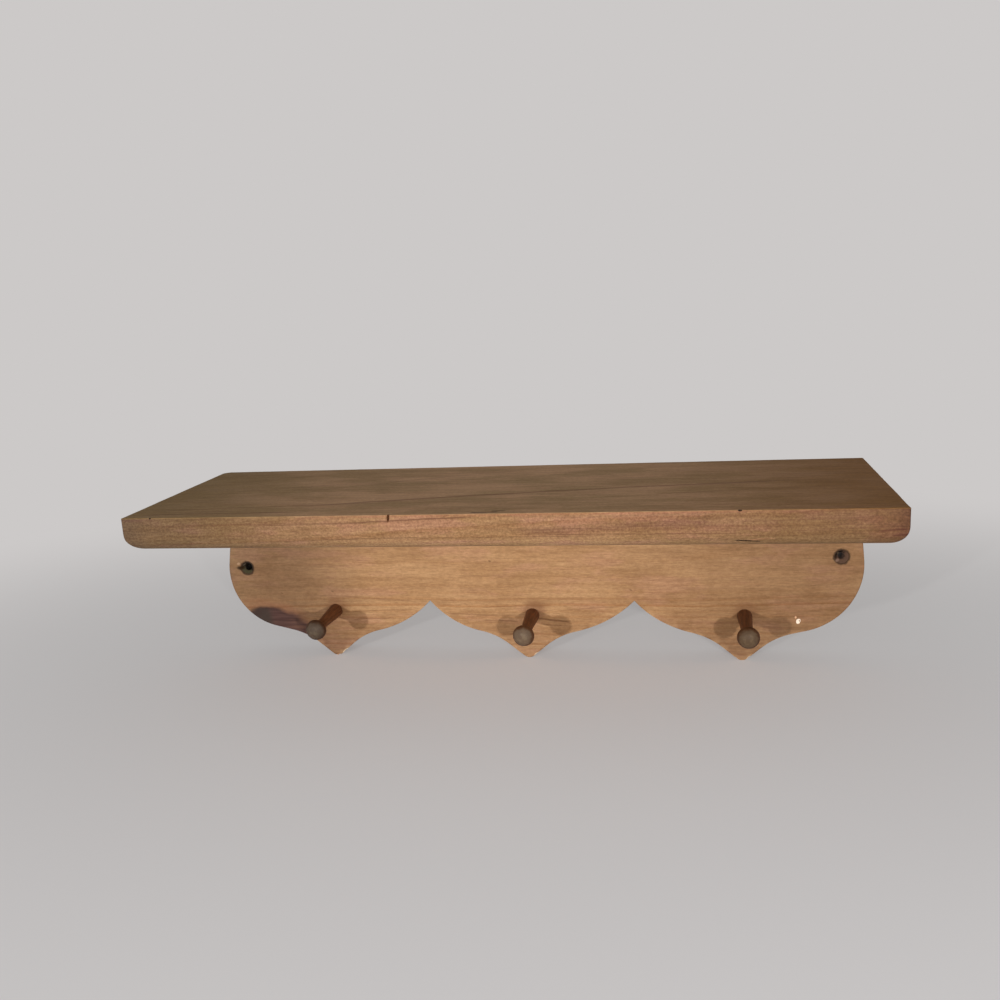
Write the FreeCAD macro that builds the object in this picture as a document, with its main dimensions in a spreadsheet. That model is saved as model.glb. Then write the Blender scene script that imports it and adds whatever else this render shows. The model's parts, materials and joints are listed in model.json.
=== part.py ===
import FreeCAD, Part
import math
import os
import Sketcher
from FreeCAD import Vector

# A small pine wall shelf with a scalloped back board and three turned pegs.
# Row frame: X along the shelf, the front faces -Y, Z is up. The wall plane is Y = 0.
# The origin is on the wall plane, midway along the shelf, at the mean height of the two wall screws.
# Lengths are millimetres and angles are degrees.
SIZES = {
    # Shelf board
    "shelf_length": 406.4,
    "shelf_depth": 128.0,
    "shelf_thickness": 19.5,
    "round_over": 10.4,
    "corner_round": 2.5,
    "top_ease": 0.8,
    # Back board: the shelf reaches past its ends by the two overhangs
    "left_overhang": 4.0,
    "right_overhang": 1.0,
    "board_thickness": 19.0,
    "board_height": 101.9,
    # Scalloped lower edge: three points, two cusps and a lobe at each end
    "scallop_rise": 38.0,
    "tip_round": 5.0,
    "flank_length": 11.0,
    "flank_angle": 40.0,
    "hollow_radius": 45.0,
    "ledge_angle": 13.0,
    "left_lean_angle": 9.0,
    "right_lean_angle": 5.0,
    "middle_tip_shift": 1.7,
    "cusp_shift": 0.6,
    # Wall screws, drilled by hand: the left one sits lower and the right one higher than their mean
    "screw_inset": 13.0,
    "screw_below_top": 38.8,
    "screw_stagger": 2.8,
    "screw_bore": 4.4,
    "screw_sink": 8.4,
    "sink_angle": 82.0,
    # Turned pegs, square to the board
    "peg_above_tip": 28.6,
    "peg_shift": 1.6,
    "left_peg_raise": 2.5,
    "peg_reach": 41.0,
    "root_radius": 4.6,
    "neck_radius": 3.0,
    "head_radius": 6.6,
    "head_length": 6.0,
    "flare_length": 4.2,
    "dome_rise": 3.2,
    "rim_round": 2.6,
    "tenon_radius": 4.0,
    "tenon_length": 12.5,
    # Blind dowels between the shelf and the top edge of the back board
    "dowel_radius": 4.0,
    "dowel_length": 30.0,
    "dowel_in_shelf": 12.0,
    "dowel_chamfer": 1.0,
    # Glue gaps, round a dowel or tenon and past its end
    "glue_gap": 0.1,
    "end_gap": 0.5,
}
# The outer points stand at this share of the board's half length, and the corners of the left and
# right lobe have these shares of the stretch from an outer point to the board's end as their radii.
OUTER_TIP_SHARE = 0.65
LOBE_ROUND_SHARES = (0.54, 0.60)
# Places of the dowels along the board, as shares of its half length
DOWEL_SHARES = (-0.75, -0.25, 0.25, 0.75)
SHEET = "Sizes"
# Sketch ids: the ends and centre of an edge, the two axes, and the origin
START, END, CENTRE = range(1, 4)
H_AXIS, V_AXIS = range(-1, -3, -1)
ORIGIN = (H_AXIS, START)


def make_sheet(doc):
    """The driving dimensions, one cell and one alias each."""
    sheet = doc.addObject("Spreadsheet::Sheet", SHEET)
    for row, (name, value) in enumerate(SIZES.items(), start=1):
        sheet.set(f"A{row}", name)
        sheet.set(f"B{row}", str(value))
        sheet.setAlias(f"B{row}", name)
    doc.recompute()
    return sheet


def cell(name):
    return f"{SHEET}.{name}"


BOARD_HALF = f"(({cell('shelf_length')} - {cell('left_overhang')} - {cell('right_overhang')}) / 2)"
BOARD_SHIFT = f"(({cell('left_overhang')} - {cell('right_overhang')}) / 2)"
TIP_PITCH = f"({BOARD_HALF} * {OUTER_TIP_SHARE})"
LOBE_ROUNDS = [f"(({BOARD_HALF} - {TIP_PITCH}) * {share})" for share in LOBE_ROUND_SHARES]
TIP_HEIGHT = f"({cell('screw_below_top')} - {cell('board_height')})"


class Plan:
    """Plain numbers for a first drawing of each sketch; the constraints then hold it."""

    def __init__(self, sheet):
        for name in SIZES:
            setattr(self, name, float(sheet.get(name)))
        self.board_half = (self.shelf_length - self.left_overhang - self.right_overhang) / 2
        self.board_shift = (self.left_overhang - self.right_overhang) / 2
        self.tip_pitch = self.board_half * OUTER_TIP_SHARE
        self.lobe_rounds = [(self.board_half - self.tip_pitch) * share for share in LOBE_ROUND_SHARES]
        self.top = self.screw_below_top
        self.tip = self.screw_below_top - self.board_height
        self.cusp = self.tip + self.scallop_rise
        self.peg_line = self.tip + self.peg_above_tip
        self.half_pitch = self.tip_pitch / 2
        self.cusps = (-self.half_pitch + self.cusp_shift, self.half_pitch + self.cusp_shift)
        self.tips = (-self.tip_pitch, -self.middle_tip_shift, self.tip_pitch)


def origin_plane(body, role):
    return next(f for f in body.Origin.OriginFeatures if f.Role == role)


def new_sketch(body, name, role, offset=None):
    """A sketch on one of the body's own origin planes, moved along its normal by an expression."""
    sketch = body.newObject("Sketcher::SketchObject", name)
    sketch.AttachmentSupport = [(origin_plane(body, role), "")]
    sketch.MapMode = "FlatFace"
    if offset:
        sketch.setExpression("AttachmentOffset.Base.z", offset)
    return sketch


def bind(sketch, kind, *where, value, formula):
    """A dimension whose first value is a number and whose lasting value is the formula."""
    index = sketch.addConstraint(Sketcher.Constraint(kind, *where, value))
    sketch.setExpression(f"Constraints[{index}]", formula)


def rule(sketch, kind, *where):
    sketch.addConstraint(Sketcher.Constraint(kind, *where))


def arc(centre, radius, low, high):
    """An arc of a circle in the sketch plane, anticlockwise from angle low to angle high."""
    circle = Part.Circle(Vector(centre[0], centre[1], 0), Vector(0, 0, 1), radius)
    return Part.ArcOfCircle(circle, math.radians(low), math.radians(high))


def line(first, second):
    return Part.LineSegment(Vector(first[0], first[1], 0), Vector(second[0], second[1], 0))


def polar(centre, radius, angle):
    turn = math.radians(angle)
    return (centre[0] + radius * math.cos(turn), centre[1] + radius * math.sin(turn))


def pocket(body, name, sketch, depth=None, through=False, reverse=False):
    """A pocket that has to take material away."""
    doc = body.Document
    doc.recompute()
    before = body.Shape.Volume
    cut = body.newObject("PartDesign::Pocket", name)
    cut.Profile = sketch
    cut.Reversed = reverse
    if through:
        cut.Type = "ThroughAll"
        cut.Midplane = True
    else:
        cut.setExpression("Length", depth)
    doc.recompute()
    if not body.Shape.Volume < before:
        raise RuntimeError(f"{name} cut nothing")


def plan_outline(sketch, plan):
    """The shelf seen from above: a rectangle behind the front edge with eased corners."""
    half, front = plan.shelf_length / 2, -plan.shelf_depth
    r = plan.corner_round
    corners = [(-half, front), (half, front), (half, 0), (-half, 0)]
    inner = [(-half + r, front + r), (half - r, front + r), (half - r, -r), (-half + r, -r)]
    sketch.addGeometry(line((inner[0][0], corners[0][1]), (inner[1][0], corners[1][1])), False)
    sketch.addGeometry(line((corners[1][0], inner[1][1]), (corners[2][0], inner[2][1])), False)
    sketch.addGeometry(line((inner[2][0], corners[2][1]), (inner[3][0], corners[3][1])), False)
    sketch.addGeometry(line((corners[3][0], inner[3][1]), (corners[0][0], inner[0][1])), False)
    bottom, right, back, left = range(4)
    sketch.addGeometry(arc(inner[1], r, 270, 360), False)
    sketch.addGeometry(arc(inner[2], r, 0, 90), False)
    sketch.addGeometry(arc(inner[3], r, 90, 180), False)
    sketch.addGeometry(arc(inner[0], r, 180, 270), False)
    sides = (bottom, right, back, left)
    for k in range(4):
        rule(sketch, "Tangent", sides[k], END, 4 + k, START)
        rule(sketch, "Tangent", 4 + k, END, sides[(k + 1) % 4], START)
    for k in range(3):
        rule(sketch, "Equal", 4, 5 + k)
    rule(sketch, "Horizontal", bottom)
    rule(sketch, "Horizontal", back)
    rule(sketch, "Vertical", left)
    rule(sketch, "Vertical", right)
    rule(sketch, "PointOnObject", back, START, H_AXIS)
    bind(sketch, "Radius", 4, value=r, formula=cell("corner_round"))
    bind(sketch, "DistanceY", bottom, START, *ORIGIN, value=plan.shelf_depth, formula=cell("shelf_depth"))
    bind(sketch, "DistanceX", left, START, *ORIGIN, value=half, formula=f"{cell('shelf_length')} / 2")
    bind(sketch, "DistanceX", *ORIGIN, right, START, value=half, formula=f"{cell('shelf_length')} / 2")


def corner_waste(sketch, corner, side, plan, across, axis_gap):
    """What a round-over cutter takes off a lower corner: two straight sides and the quarter round."""
    r = plan.round_over
    centre = (corner[0] + side * r, corner[1] + r)
    span = (180, 270) if side > 0 else (270, 360)
    first = sketch.GeometryCount
    sketch.addGeometry(arc(centre, r, *span), False)
    sketch.addGeometry(line(corner, (corner[0] + side * r, corner[1])), False)
    sketch.addGeometry(line(corner, (corner[0], corner[1] + r)), False)
    low, high = (END, START) if side > 0 else (START, END)
    rule(sketch, "Coincident", first, low, first + 1, END)
    rule(sketch, "Coincident", first, high, first + 2, END)
    rule(sketch, "Coincident", first + 1, START, first + 2, START)
    rule(sketch, "Horizontal", first + 1)
    rule(sketch, "Vertical", first + 2)
    rule(sketch, "Vertical", first, CENTRE, first, low)
    rule(sketch, "Horizontal", first, CENTRE, first, high)
    rule(sketch, "PointOnObject", first + 1, START, H_AXIS)
    bind(sketch, "Radius", first, value=r, formula=cell("round_over"))
    ends = (first + 1, START, *ORIGIN) if side > 0 else (*ORIGIN, first + 1, START)
    bind(sketch, "DistanceX", *ends, value=axis_gap, formula=across)


def make_shelf(doc, plan):
    """The shelf board, its underside on the top edge of the back board."""
    body = doc.addObject("PartDesign::Body", "shelf_board")
    body.Label = "shelf_board"
    outline = new_sketch(body, "shelf_plan", "XY_Plane")
    plan_outline(outline, plan)
    pad = body.newObject("PartDesign::Pad", "shelf_pad")
    pad.Profile = outline
    pad.setExpression("Length", cell("shelf_thickness"))
    doc.recompute()
    ease = body.newObject("PartDesign::Fillet", "shelf_top_ease")
    top = plan.shelf_thickness
    edges = [f"Edge{k}" for k, edge in enumerate(pad.Shape.Edges, start=1)
             if all(math.isclose(v.Z, top, abs_tol=1e-6) for v in edge.Vertexes)]
    ease.Base = (pad, edges)
    ease.setExpression("Radius", cell("top_ease"))
    doc.recompute()
    front = new_sketch(body, "front_round_over", "YZ_Plane")
    corner_waste(front, (-plan.shelf_depth, 0), 1, plan, cell("shelf_depth"), plan.shelf_depth)
    pocket(body, "front_round_cut", front, through=True)
    ends = new_sketch(body, "end_round_overs", "XZ_Plane")
    half = plan.shelf_length / 2
    for side in (1, -1):
        corner_waste(ends, (-side * half, 0), side, plan, f"{cell('shelf_length')} / 2", half)
    pocket(body, "end_round_cut", ends, through=True)
    sockets = new_sketch(body, "shelf_dowel_places", "XY_Plane")
    dowel_circles(sockets, plan, plan.board_shift, BOARD_SHIFT)
    pocket(body, "shelf_dowel_sockets", sockets, reverse=True,
           depth=f"{cell('dowel_in_shelf')} + {cell('end_gap')}")
    body.setExpression("Placement.Base.z", cell("screw_below_top"))
    return body


def dowel_circles(sketch, plan, shift, shift_formula):
    """Socket circles for the dowels, in the middle of the back board's thickness."""
    radius = plan.dowel_radius + plan.glue_gap
    for share in DOWEL_SHARES:
        x = shift + share * plan.board_half
        centre = Vector(x, -plan.board_thickness / 2, 0)
        socket = sketch.addGeometry(Part.Circle(centre, Vector(0, 0, 1), radius), False)
        bind(sketch, "Radius", socket, value=radius,
             formula=f"{cell('dowel_radius')} + {cell('glue_gap')}")
        bind(sketch, "DistanceY", socket, CENTRE, *ORIGIN, value=plan.board_thickness / 2,
             formula=f"{cell('board_thickness')} / 2")
        bind(sketch, "DistanceX", *ORIGIN, socket, CENTRE, value=x,
             formula=f"{shift_formula} + {share} * {BOARD_HALF}")


class Point:
    """One point of the scalloped edge: its round tip, two straight flanks and two hollow arcs."""

    def __init__(self, sketch, plan, x):
        a, b = plan.flank_angle, plan.ledge_angle
        self.centre = (x, plan.tip + plan.tip_round)
        self.tip = sketch.addGeometry(arc(self.centre, plan.tip_round, -90 - a, -90 + a), False)
        self.flanks, self.hollows, self.ledges = [], [], []
        for side in (1, -1):
            foot = self.mirrored(side, polar((0, 0), plan.tip_round, -90 + a))
            run = polar((0, 0), plan.flank_length, a)
            head = (foot[0] + side * run[0], foot[1] + run[1])
            hollow = (head[0] + side * plan.hollow_radius * math.sin(math.radians(a)),
                      head[1] - plan.hollow_radius * math.cos(math.radians(a)))
            self.flanks.append(sketch.addGeometry(line(foot, head), False))
            span = (90 + b, 90 + a) if side > 0 else (90 - a, 90 - b)
            self.hollows.append(sketch.addGeometry(arc(hollow, plan.hollow_radius, *span), False))
            self.ledges.append(polar(hollow, plan.hollow_radius, 90 + side * b))
        self.hold(sketch, plan)

    def mirrored(self, side, offset):
        return (self.centre[0] + side * offset[0], self.centre[1] + offset[1])

    def hold(self, sketch, plan):
        right, left = self.flanks
        rule(sketch, "Tangent", self.tip, END, right, START)
        rule(sketch, "Tangent", self.tip, START, left, START)
        rule(sketch, "Horizontal", self.tip, START, self.tip, END)
        bind(sketch, "Radius", self.tip, value=plan.tip_round, formula=cell("tip_round"))
        bind(sketch, "DistanceY", self.tip, CENTRE, *ORIGIN, value=-self.centre[1],
             formula=f"-({TIP_HEIGHT} + {cell('tip_round')})")
        bind(sketch, "Angle", right, value=math.radians(plan.flank_angle), formula=cell("flank_angle"))
        for flank, hollow, near in ((right, self.hollows[0], END), (left, self.hollows[1], START)):
            bind(sketch, "Distance", flank, value=plan.flank_length, formula=cell("flank_length"))
            rule(sketch, "Tangent", flank, END, hollow, near)
            bind(sketch, "Radius", hollow, value=plan.hollow_radius, formula=cell("hollow_radius"))
            bind(sketch, "Angle", hollow, value=math.radians(plan.flank_angle - plan.ledge_angle),
                 formula=f"{cell('flank_angle')} - {cell('ledge_angle')}")


def swell(sketch, plan, point, side, cusp):
    """The full arc from a point's hollow up to a cusp, tangent to the hollow."""
    start = point.ledges[0 if side > 0 else 1]
    across, rise = side * (cusp[0] - start[0]), cusp[1] - start[1]
    turn = 2 * (math.degrees(math.atan2(rise, across)) - plan.ledge_angle)
    radius = math.hypot(across, rise) / (2 * math.sin(math.radians(turn / 2)))
    centre = polar(start, radius, 90 + side * plan.ledge_angle)
    low = -90 + plan.ledge_angle
    span = (low, low + turn) if side > 0 else (-180 - low - turn, -180 - low)
    shape = sketch.addGeometry(arc(centre, radius, *span), False)
    near = START if side > 0 else END
    rule(sketch, "Tangent", point.hollows[0 if side > 0 else 1], near, shape, near)
    return shape


def lobe(sketch, plan, point, side, lean, lean_name):
    """The board's end: a straight ledge, the lobe's round corner and the end, which leans inwards."""
    start = point.ledges[0 if side > 0 else 1]
    which = 1 if side > 0 else 0
    b, r = plan.ledge_angle, plan.lobe_rounds[which]
    centre_x = side * (plan.board_half - r)
    foot_x = centre_x + side * r * math.sin(math.radians(b))
    foot = (foot_x, start[1] + abs(foot_x - start[0]) * math.tan(math.radians(b)))
    centre = (centre_x, foot[1] + r * math.cos(math.radians(b)))
    span = (-90 + b, lean) if side > 0 else (180 - lean, 270 - b)
    ledge = sketch.addGeometry(line(start, foot), False)
    corner = sketch.addGeometry(arc(centre, r, *span), False)
    shoulder = polar(centre, r, lean if side > 0 else 180 - lean)
    rise = plan.top - shoulder[1]
    crown = (shoulder[0] - side * rise * math.tan(math.radians(lean)), plan.top)
    end = sketch.addGeometry(line(shoulder, crown), False)
    hollow_at = START if side > 0 else END
    rule(sketch, "Tangent", point.hollows[0 if side > 0 else 1], hollow_at, ledge, START)
    rule(sketch, "Tangent", ledge, END, corner, START if side > 0 else END)
    rule(sketch, "Tangent", corner, END if side > 0 else START, end, START)
    bind(sketch, "Radius", corner, value=r, formula=LOBE_ROUNDS[which])
    ends = (*ORIGIN, corner, CENTRE) if side > 0 else (corner, CENTRE, *ORIGIN)
    bind(sketch, "DistanceX", *ends, value=plan.board_half - r,
         formula=f"{BOARD_HALF} - {LOBE_ROUNDS[which]}")
    sign = "+" if side > 0 else "-"
    bind(sketch, "Angle", end, value=math.radians(90 + side * lean), formula=f"90 {sign} {cell(lean_name)}")
    return end, crown


def scallop_outline(sketch, plan):
    """The back board seen from the front, about its own middle."""
    points = [Point(sketch, plan, x) for x in plan.tips]
    left, middle, right = points
    half_pitch = f"{TIP_PITCH} / 2"
    bind(sketch, "DistanceX", left.tip, CENTRE, *ORIGIN, value=plan.tip_pitch, formula=TIP_PITCH)
    bind(sketch, "DistanceX", *ORIGIN, right.tip, CENTRE, value=plan.tip_pitch, formula=TIP_PITCH)
    bind(sketch, "DistanceX", middle.tip, CENTRE, right.tip, CENTRE,
         value=plan.tip_pitch + plan.middle_tip_shift, formula=f"{TIP_PITCH} + {cell('middle_tip_shift')}")
    bays = ((left, middle, plan.cusps[0]), (middle, right, plan.cusps[1]))
    for first, second, x in bays:
        cusp = (x, plan.cusp)
        rising = swell(sketch, plan, first, 1, cusp)
        falling = swell(sketch, plan, second, -1, cusp)
        rule(sketch, "Coincident", rising, END, falling, START)
        bind(sketch, "DistanceY", second.tip, CENTRE, rising, END, value=plan.scallop_rise - plan.tip_round,
             formula=f"{cell('scallop_rise')} - {cell('tip_round')}")
        if first is left:
            bind(sketch, "DistanceX", left.tip, CENTRE, rising, END,
                 value=plan.half_pitch + plan.cusp_shift, formula=f"{half_pitch} + {cell('cusp_shift')}")
        else:
            bind(sketch, "DistanceX", rising, END, right.tip, CENTRE,
                 value=plan.half_pitch - plan.cusp_shift, formula=f"{half_pitch} - {cell('cusp_shift')}")
    end_left, crown_left = lobe(sketch, plan, left, -1, plan.left_lean_angle, "left_lean_angle")
    end_right, crown_right = lobe(sketch, plan, right, 1, plan.right_lean_angle, "right_lean_angle")
    top = sketch.addGeometry(line(crown_left, crown_right), False)
    rule(sketch, "Coincident", end_left, END, top, START)
    rule(sketch, "Coincident", end_right, END, top, END)
    rule(sketch, "Horizontal", top)
    bind(sketch, "DistanceY", *ORIGIN, top, START, value=plan.top, formula=cell("screw_below_top"))


def drilled(body, name, sketch):
    """A hole feature for the circles of a sketch on the board's front face."""
    body.Document.recompute()
    hole = body.newObject("PartDesign::Hole", name)
    hole.Profile = sketch
    body.Document.recompute()
    hole.ThreadType = "None"
    return hole


def peg_places(plan):
    """Each peg's place on the board as numbers and as formulas, left to right."""
    line_height = f"{TIP_HEIGHT} + {cell('peg_above_tip')}"
    raised = f"{line_height} + {cell('left_peg_raise')}"
    shift = cell("peg_shift")
    return {
        "peg_left": (plan.peg_shift - plan.tip_pitch, plan.peg_line + plan.left_peg_raise,
                     f"{shift} - {TIP_PITCH}", raised),
        "peg_middle": (plan.peg_shift, plan.peg_line, shift, line_height),
        "peg_right": (plan.peg_shift + plan.tip_pitch, plan.peg_line,
                      f"{shift} + {TIP_PITCH}", line_height),
    }


def spot(sketch, x, z, radius, across, up, size):
    """A circle held by its radius and by its distances from the sketch's origin."""
    circle = sketch.addGeometry(Part.Circle(Vector(x, z, 0), Vector(0, 0, 1), radius), False)
    bind(sketch, "Radius", circle, value=radius, formula=size)
    bind(sketch, "DistanceX", *ORIGIN, circle, CENTRE, value=x, formula=across)
    bind(sketch, "DistanceY", *ORIGIN, circle, CENTRE, value=z, formula=up)


def make_board(doc, plan):
    """The back board with its wall-screw holes, peg sockets and dowel sockets."""
    body = doc.addObject("PartDesign::Body", "back_board")
    body.Label = "back_board"
    outline = new_sketch(body, "scallops", "XZ_Plane")
    scallop_outline(outline, plan)
    pad = body.newObject("PartDesign::Pad", "board_pad")
    pad.Profile = outline
    pad.setExpression("Length", cell("board_thickness"))
    face = cell("board_thickness")
    screws = new_sketch(body, "screw_places", "XZ_Plane", face)
    inset = plan.board_half - plan.screw_inset
    for side, sign in ((-1, "-"), (1, "")):
        spot(screws, side * inset, side * plan.screw_stagger, plan.screw_bore / 2,
             f"{sign}({BOARD_HALF} - {cell('screw_inset')})", f"{sign}{cell('screw_stagger')}",
             f"{cell('screw_bore')} / 2")
    hole = drilled(body, "screw_holes", screws)
    hole.DepthType = "ThroughAll"
    hole.HoleCutType = "Countersink"
    hole.setExpression("Diameter", cell("screw_bore"))
    hole.setExpression("HoleCutDiameter", cell("screw_sink"))
    hole.setExpression("HoleCutCountersinkAngle", cell("sink_angle"))
    doc.recompute()
    pegs = new_sketch(body, "peg_places", "XZ_Plane", face)
    radius = plan.tenon_radius + plan.glue_gap
    for x, z, across, up in peg_places(plan).values():
        spot(pegs, x, z, radius, across, up, f"{cell('tenon_radius')} + {cell('glue_gap')}")
    pocket(body, "peg_sockets", pegs, depth=f"{cell('tenon_length')} + {cell('end_gap')}")
    dowels = new_sketch(body, "board_dowel_places", "XY_Plane", cell("screw_below_top"))
    dowel_circles(dowels, plan, 0, "0")
    pocket(body, "board_dowel_sockets", dowels,
           depth=f"{cell('dowel_length')} - {cell('dowel_in_shelf')} + {cell('end_gap')}")
    body.setExpression("Placement.Base.x", BOARD_SHIFT)
    return body


def peg_profile(sketch, plan):
    """Half of a peg's section: tenon, shoulder, tapering shaft, flared neck, round rim and domed face.

    The peg's own origin is where its axis meets the board's face, and it stands out along -Y.
    """
    tail, tenon, root, neck = plan.tenon_length, plan.tenon_radius, plan.root_radius, plan.neck_radius
    apex = -plan.peg_reach
    rim_back = apex + plan.head_length
    rim_front = apex + plan.dome_rise
    shaft_end = rim_back + plan.flare_length
    half_rim = (rim_back - rim_front) / 2
    rim_centre = (rim_back - half_rim, plan.head_radius - plan.rim_round)
    edge = rim_centre[1] + math.sqrt(plan.rim_round ** 2 - half_rim ** 2)
    back_face = sketch.addGeometry(line((tail, 0), (tail, tenon)), False)
    side = sketch.addGeometry(line((tail, tenon), (0, tenon)), False)
    shoulder = sketch.addGeometry(line((0, tenon), (0, root)), False)
    shaft = sketch.addGeometry(line((0, root), (shaft_end, neck)), False)
    taper = math.degrees(math.atan2(root - neck, -shaft_end))
    chord = (shaft_end - rim_back, edge - neck)
    half_turn = math.degrees(math.atan2(chord[1], chord[0])) + taper
    radius = math.hypot(*chord) / (2 * math.sin(math.radians(half_turn)))
    centre = polar((shaft_end, neck), radius, 90 + taper)
    high = 270 + taper
    flare = sketch.addGeometry(arc(centre, radius, high - 2 * half_turn, high), False)
    lean = math.degrees(math.asin(half_rim / plan.rim_round))
    rim = sketch.addGeometry(arc(rim_centre, plan.rim_round, 90 - lean, 90 + lean), False)
    dome_radius = (edge ** 2 + plan.dome_rise ** 2) / (2 * plan.dome_rise)
    low = 180 - math.degrees(math.asin(edge / dome_radius))
    dome = sketch.addGeometry(arc((apex + dome_radius, 0), dome_radius, low, 180), False)
    axis = sketch.addGeometry(line((apex, 0), (tail, 0)), False)
    hold_peg(sketch, plan, (back_face, side, shoulder, shaft, flare, rim, dome, axis))


def hold_peg(sketch, plan, edges):
    """The rules and dimensions that hold a peg's half section."""
    back_face, side, shoulder, shaft, flare, rim, dome, axis = edges
    joins = ((back_face, END, side, START), (side, END, shoulder, START), (shoulder, END, shaft, START),
             (flare, START, rim, START), (rim, END, dome, START), (dome, END, axis, START),
             (axis, END, back_face, START))
    for join in joins:
        rule(sketch, "Coincident", *join)
    rule(sketch, "Tangent", shaft, END, flare, END)
    rule(sketch, "Horizontal", side)
    rule(sketch, "Vertical", back_face)
    rule(sketch, "Horizontal", rim, START, rim, END)
    rule(sketch, "PointOnObject", axis, START, H_AXIS)
    rule(sketch, "PointOnObject", axis, END, H_AXIS)
    rule(sketch, "PointOnObject", dome, CENTRE, H_AXIS)
    rule(sketch, "PointOnObject", shoulder, START, V_AXIS)
    rule(sketch, "PointOnObject", shoulder, END, V_AXIS)
    reach, head = cell("peg_reach"), cell("head_length")
    rim_back = plan.peg_reach - plan.head_length
    outwards = (
        (axis, START, plan.peg_reach, reach),
        (rim, END, plan.peg_reach - plan.dome_rise, f"{reach} - {cell('dome_rise')}"),
        (rim, START, rim_back, f"{reach} - {head}"),
        (shaft, END, rim_back - plan.flare_length, f"{reach} - {head} - {cell('flare_length')}"),
    )
    for edge, place, value, formula in outwards:
        bind(sketch, "DistanceX", edge, place, *ORIGIN, value=value, formula=formula)
    bind(sketch, "DistanceX", *ORIGIN, back_face, START,
         value=plan.tenon_length, formula=cell("tenon_length"))
    heights = (
        (side, START, plan.tenon_radius, cell("tenon_radius")),
        (shoulder, END, plan.root_radius, cell("root_radius")),
        (shaft, END, plan.neck_radius, cell("neck_radius")),
        (rim, CENTRE, plan.head_radius - plan.rim_round, f"{cell('head_radius')} - {cell('rim_round')}"),
    )
    for edge, place, value, formula in heights:
        bind(sketch, "DistanceY", *ORIGIN, edge, place, value=value, formula=formula)
    bind(sketch, "Radius", rim, value=plan.rim_round, formula=cell("rim_round"))


def make_peg(doc, plan, name, across, up):
    """A turned peg, its shoulder on the board's face and its tenon in the socket."""
    body = doc.addObject("PartDesign::Body", name)
    body.Label = name
    profile = new_sketch(body, f"{name}_section", "YZ_Plane")
    peg_profile(profile, plan)
    turned = body.newObject("PartDesign::Revolution", f"{name}_turning")
    turned.Profile = profile
    turned.ReferenceAxis = (profile, ["H_Axis"])
    turned.Angle = 360
    body.setExpression("Placement.Base.x", f"{BOARD_SHIFT} + {across}")
    body.setExpression("Placement.Base.y", f"-{cell('board_thickness')}")
    body.setExpression("Placement.Base.z", up)
    return body


def make_dowels(doc, plan):
    """Four chamfered dowels, half hidden in the shelf and half in the board's top edge."""
    dowels = []
    for number, share in enumerate(DOWEL_SHARES, start=1):
        rod = doc.addObject("Part::Cylinder", f"dowel_rod_{number}")
        rod.setExpression("Radius", cell("dowel_radius"))
        rod.setExpression("Height", cell("dowel_length"))
        rod.setExpression("Placement.Base.x", f"{BOARD_SHIFT} + {share} * {BOARD_HALF}")
        rod.setExpression("Placement.Base.y", f"-{cell('board_thickness')} / 2")
        rod.setExpression("Placement.Base.z", f"{cell('screw_below_top')} + {cell('dowel_in_shelf')}"
                                              f" - {cell('dowel_length')}")
        doc.recompute()
        rims = [k for k, edge in enumerate(rod.Shape.Edges, start=1) if isinstance(edge.Curve, Part.Circle)]
        dowel = doc.addObject("Part::Chamfer", f"dowel_{number}")
        dowel.Base = rod
        dowel.Edges = [(k, plan.dowel_chamfer, plan.dowel_chamfer) for k in rims]
        dowels.append(dowel)
    group = doc.addObject("Part::Compound", "shelf_dowels")
    group.Label = "shelf_dowels"
    group.Links = dowels
    return group


def check(doc, nodes):
    """Every feature has to be sound and every sub-part a valid solid or group of solids."""
    doc.recompute()
    for thing in doc.Objects:
        bad = {"Invalid", "Error"} & set(thing.State)
        if bad:
            raise RuntimeError(f"{thing.Name}: {', '.join(sorted(bad))}")
    for node in nodes:
        if node.Shape.isNull() or not node.Shape.isValid() or not node.Shape.Solids:
            raise RuntimeError(f"{node.Label} has no valid solid")


def main():
    doc = FreeCAD.newDocument("peg_shelf")
    plan = Plan(make_sheet(doc))
    nodes = [make_shelf(doc, plan), make_board(doc, plan)]
    for name, (_, _, across, up) in peg_places(plan).items():
        nodes.append(make_peg(doc, plan, name, across, up))
    nodes.append(make_dowels(doc, plan))
    check(doc, nodes)
    os.makedirs("parts", exist_ok=True)
    for node in nodes:
        node.Shape.exportStep(f"parts/{node.Label}.step")
        box = node.Shape.BoundBox
        low = f"{box.XMin:.2f} {box.YMin:.2f} {box.ZMin:.2f}"
        high = f"{box.XMax:.2f} {box.YMax:.2f} {box.ZMax:.2f}"
        print(f"{node.Label}: solids {len(node.Shape.Solids)}, from {low} to {high}")


main()
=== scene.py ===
"""Looks of a pine wall shelf: a shelf board, a scalloped back board and three turned pegs.

Metres, in the part's own frame: X along the shelf, its front faces -Y, Z up, the wall at Y = 0.
"""

import json
import math

import bmesh
import bpy
import numpy as np
from mathutils import Matrix, Quaternion, Vector, noise
from mathutils.geometry import delaunay_2d_cdt


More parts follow.
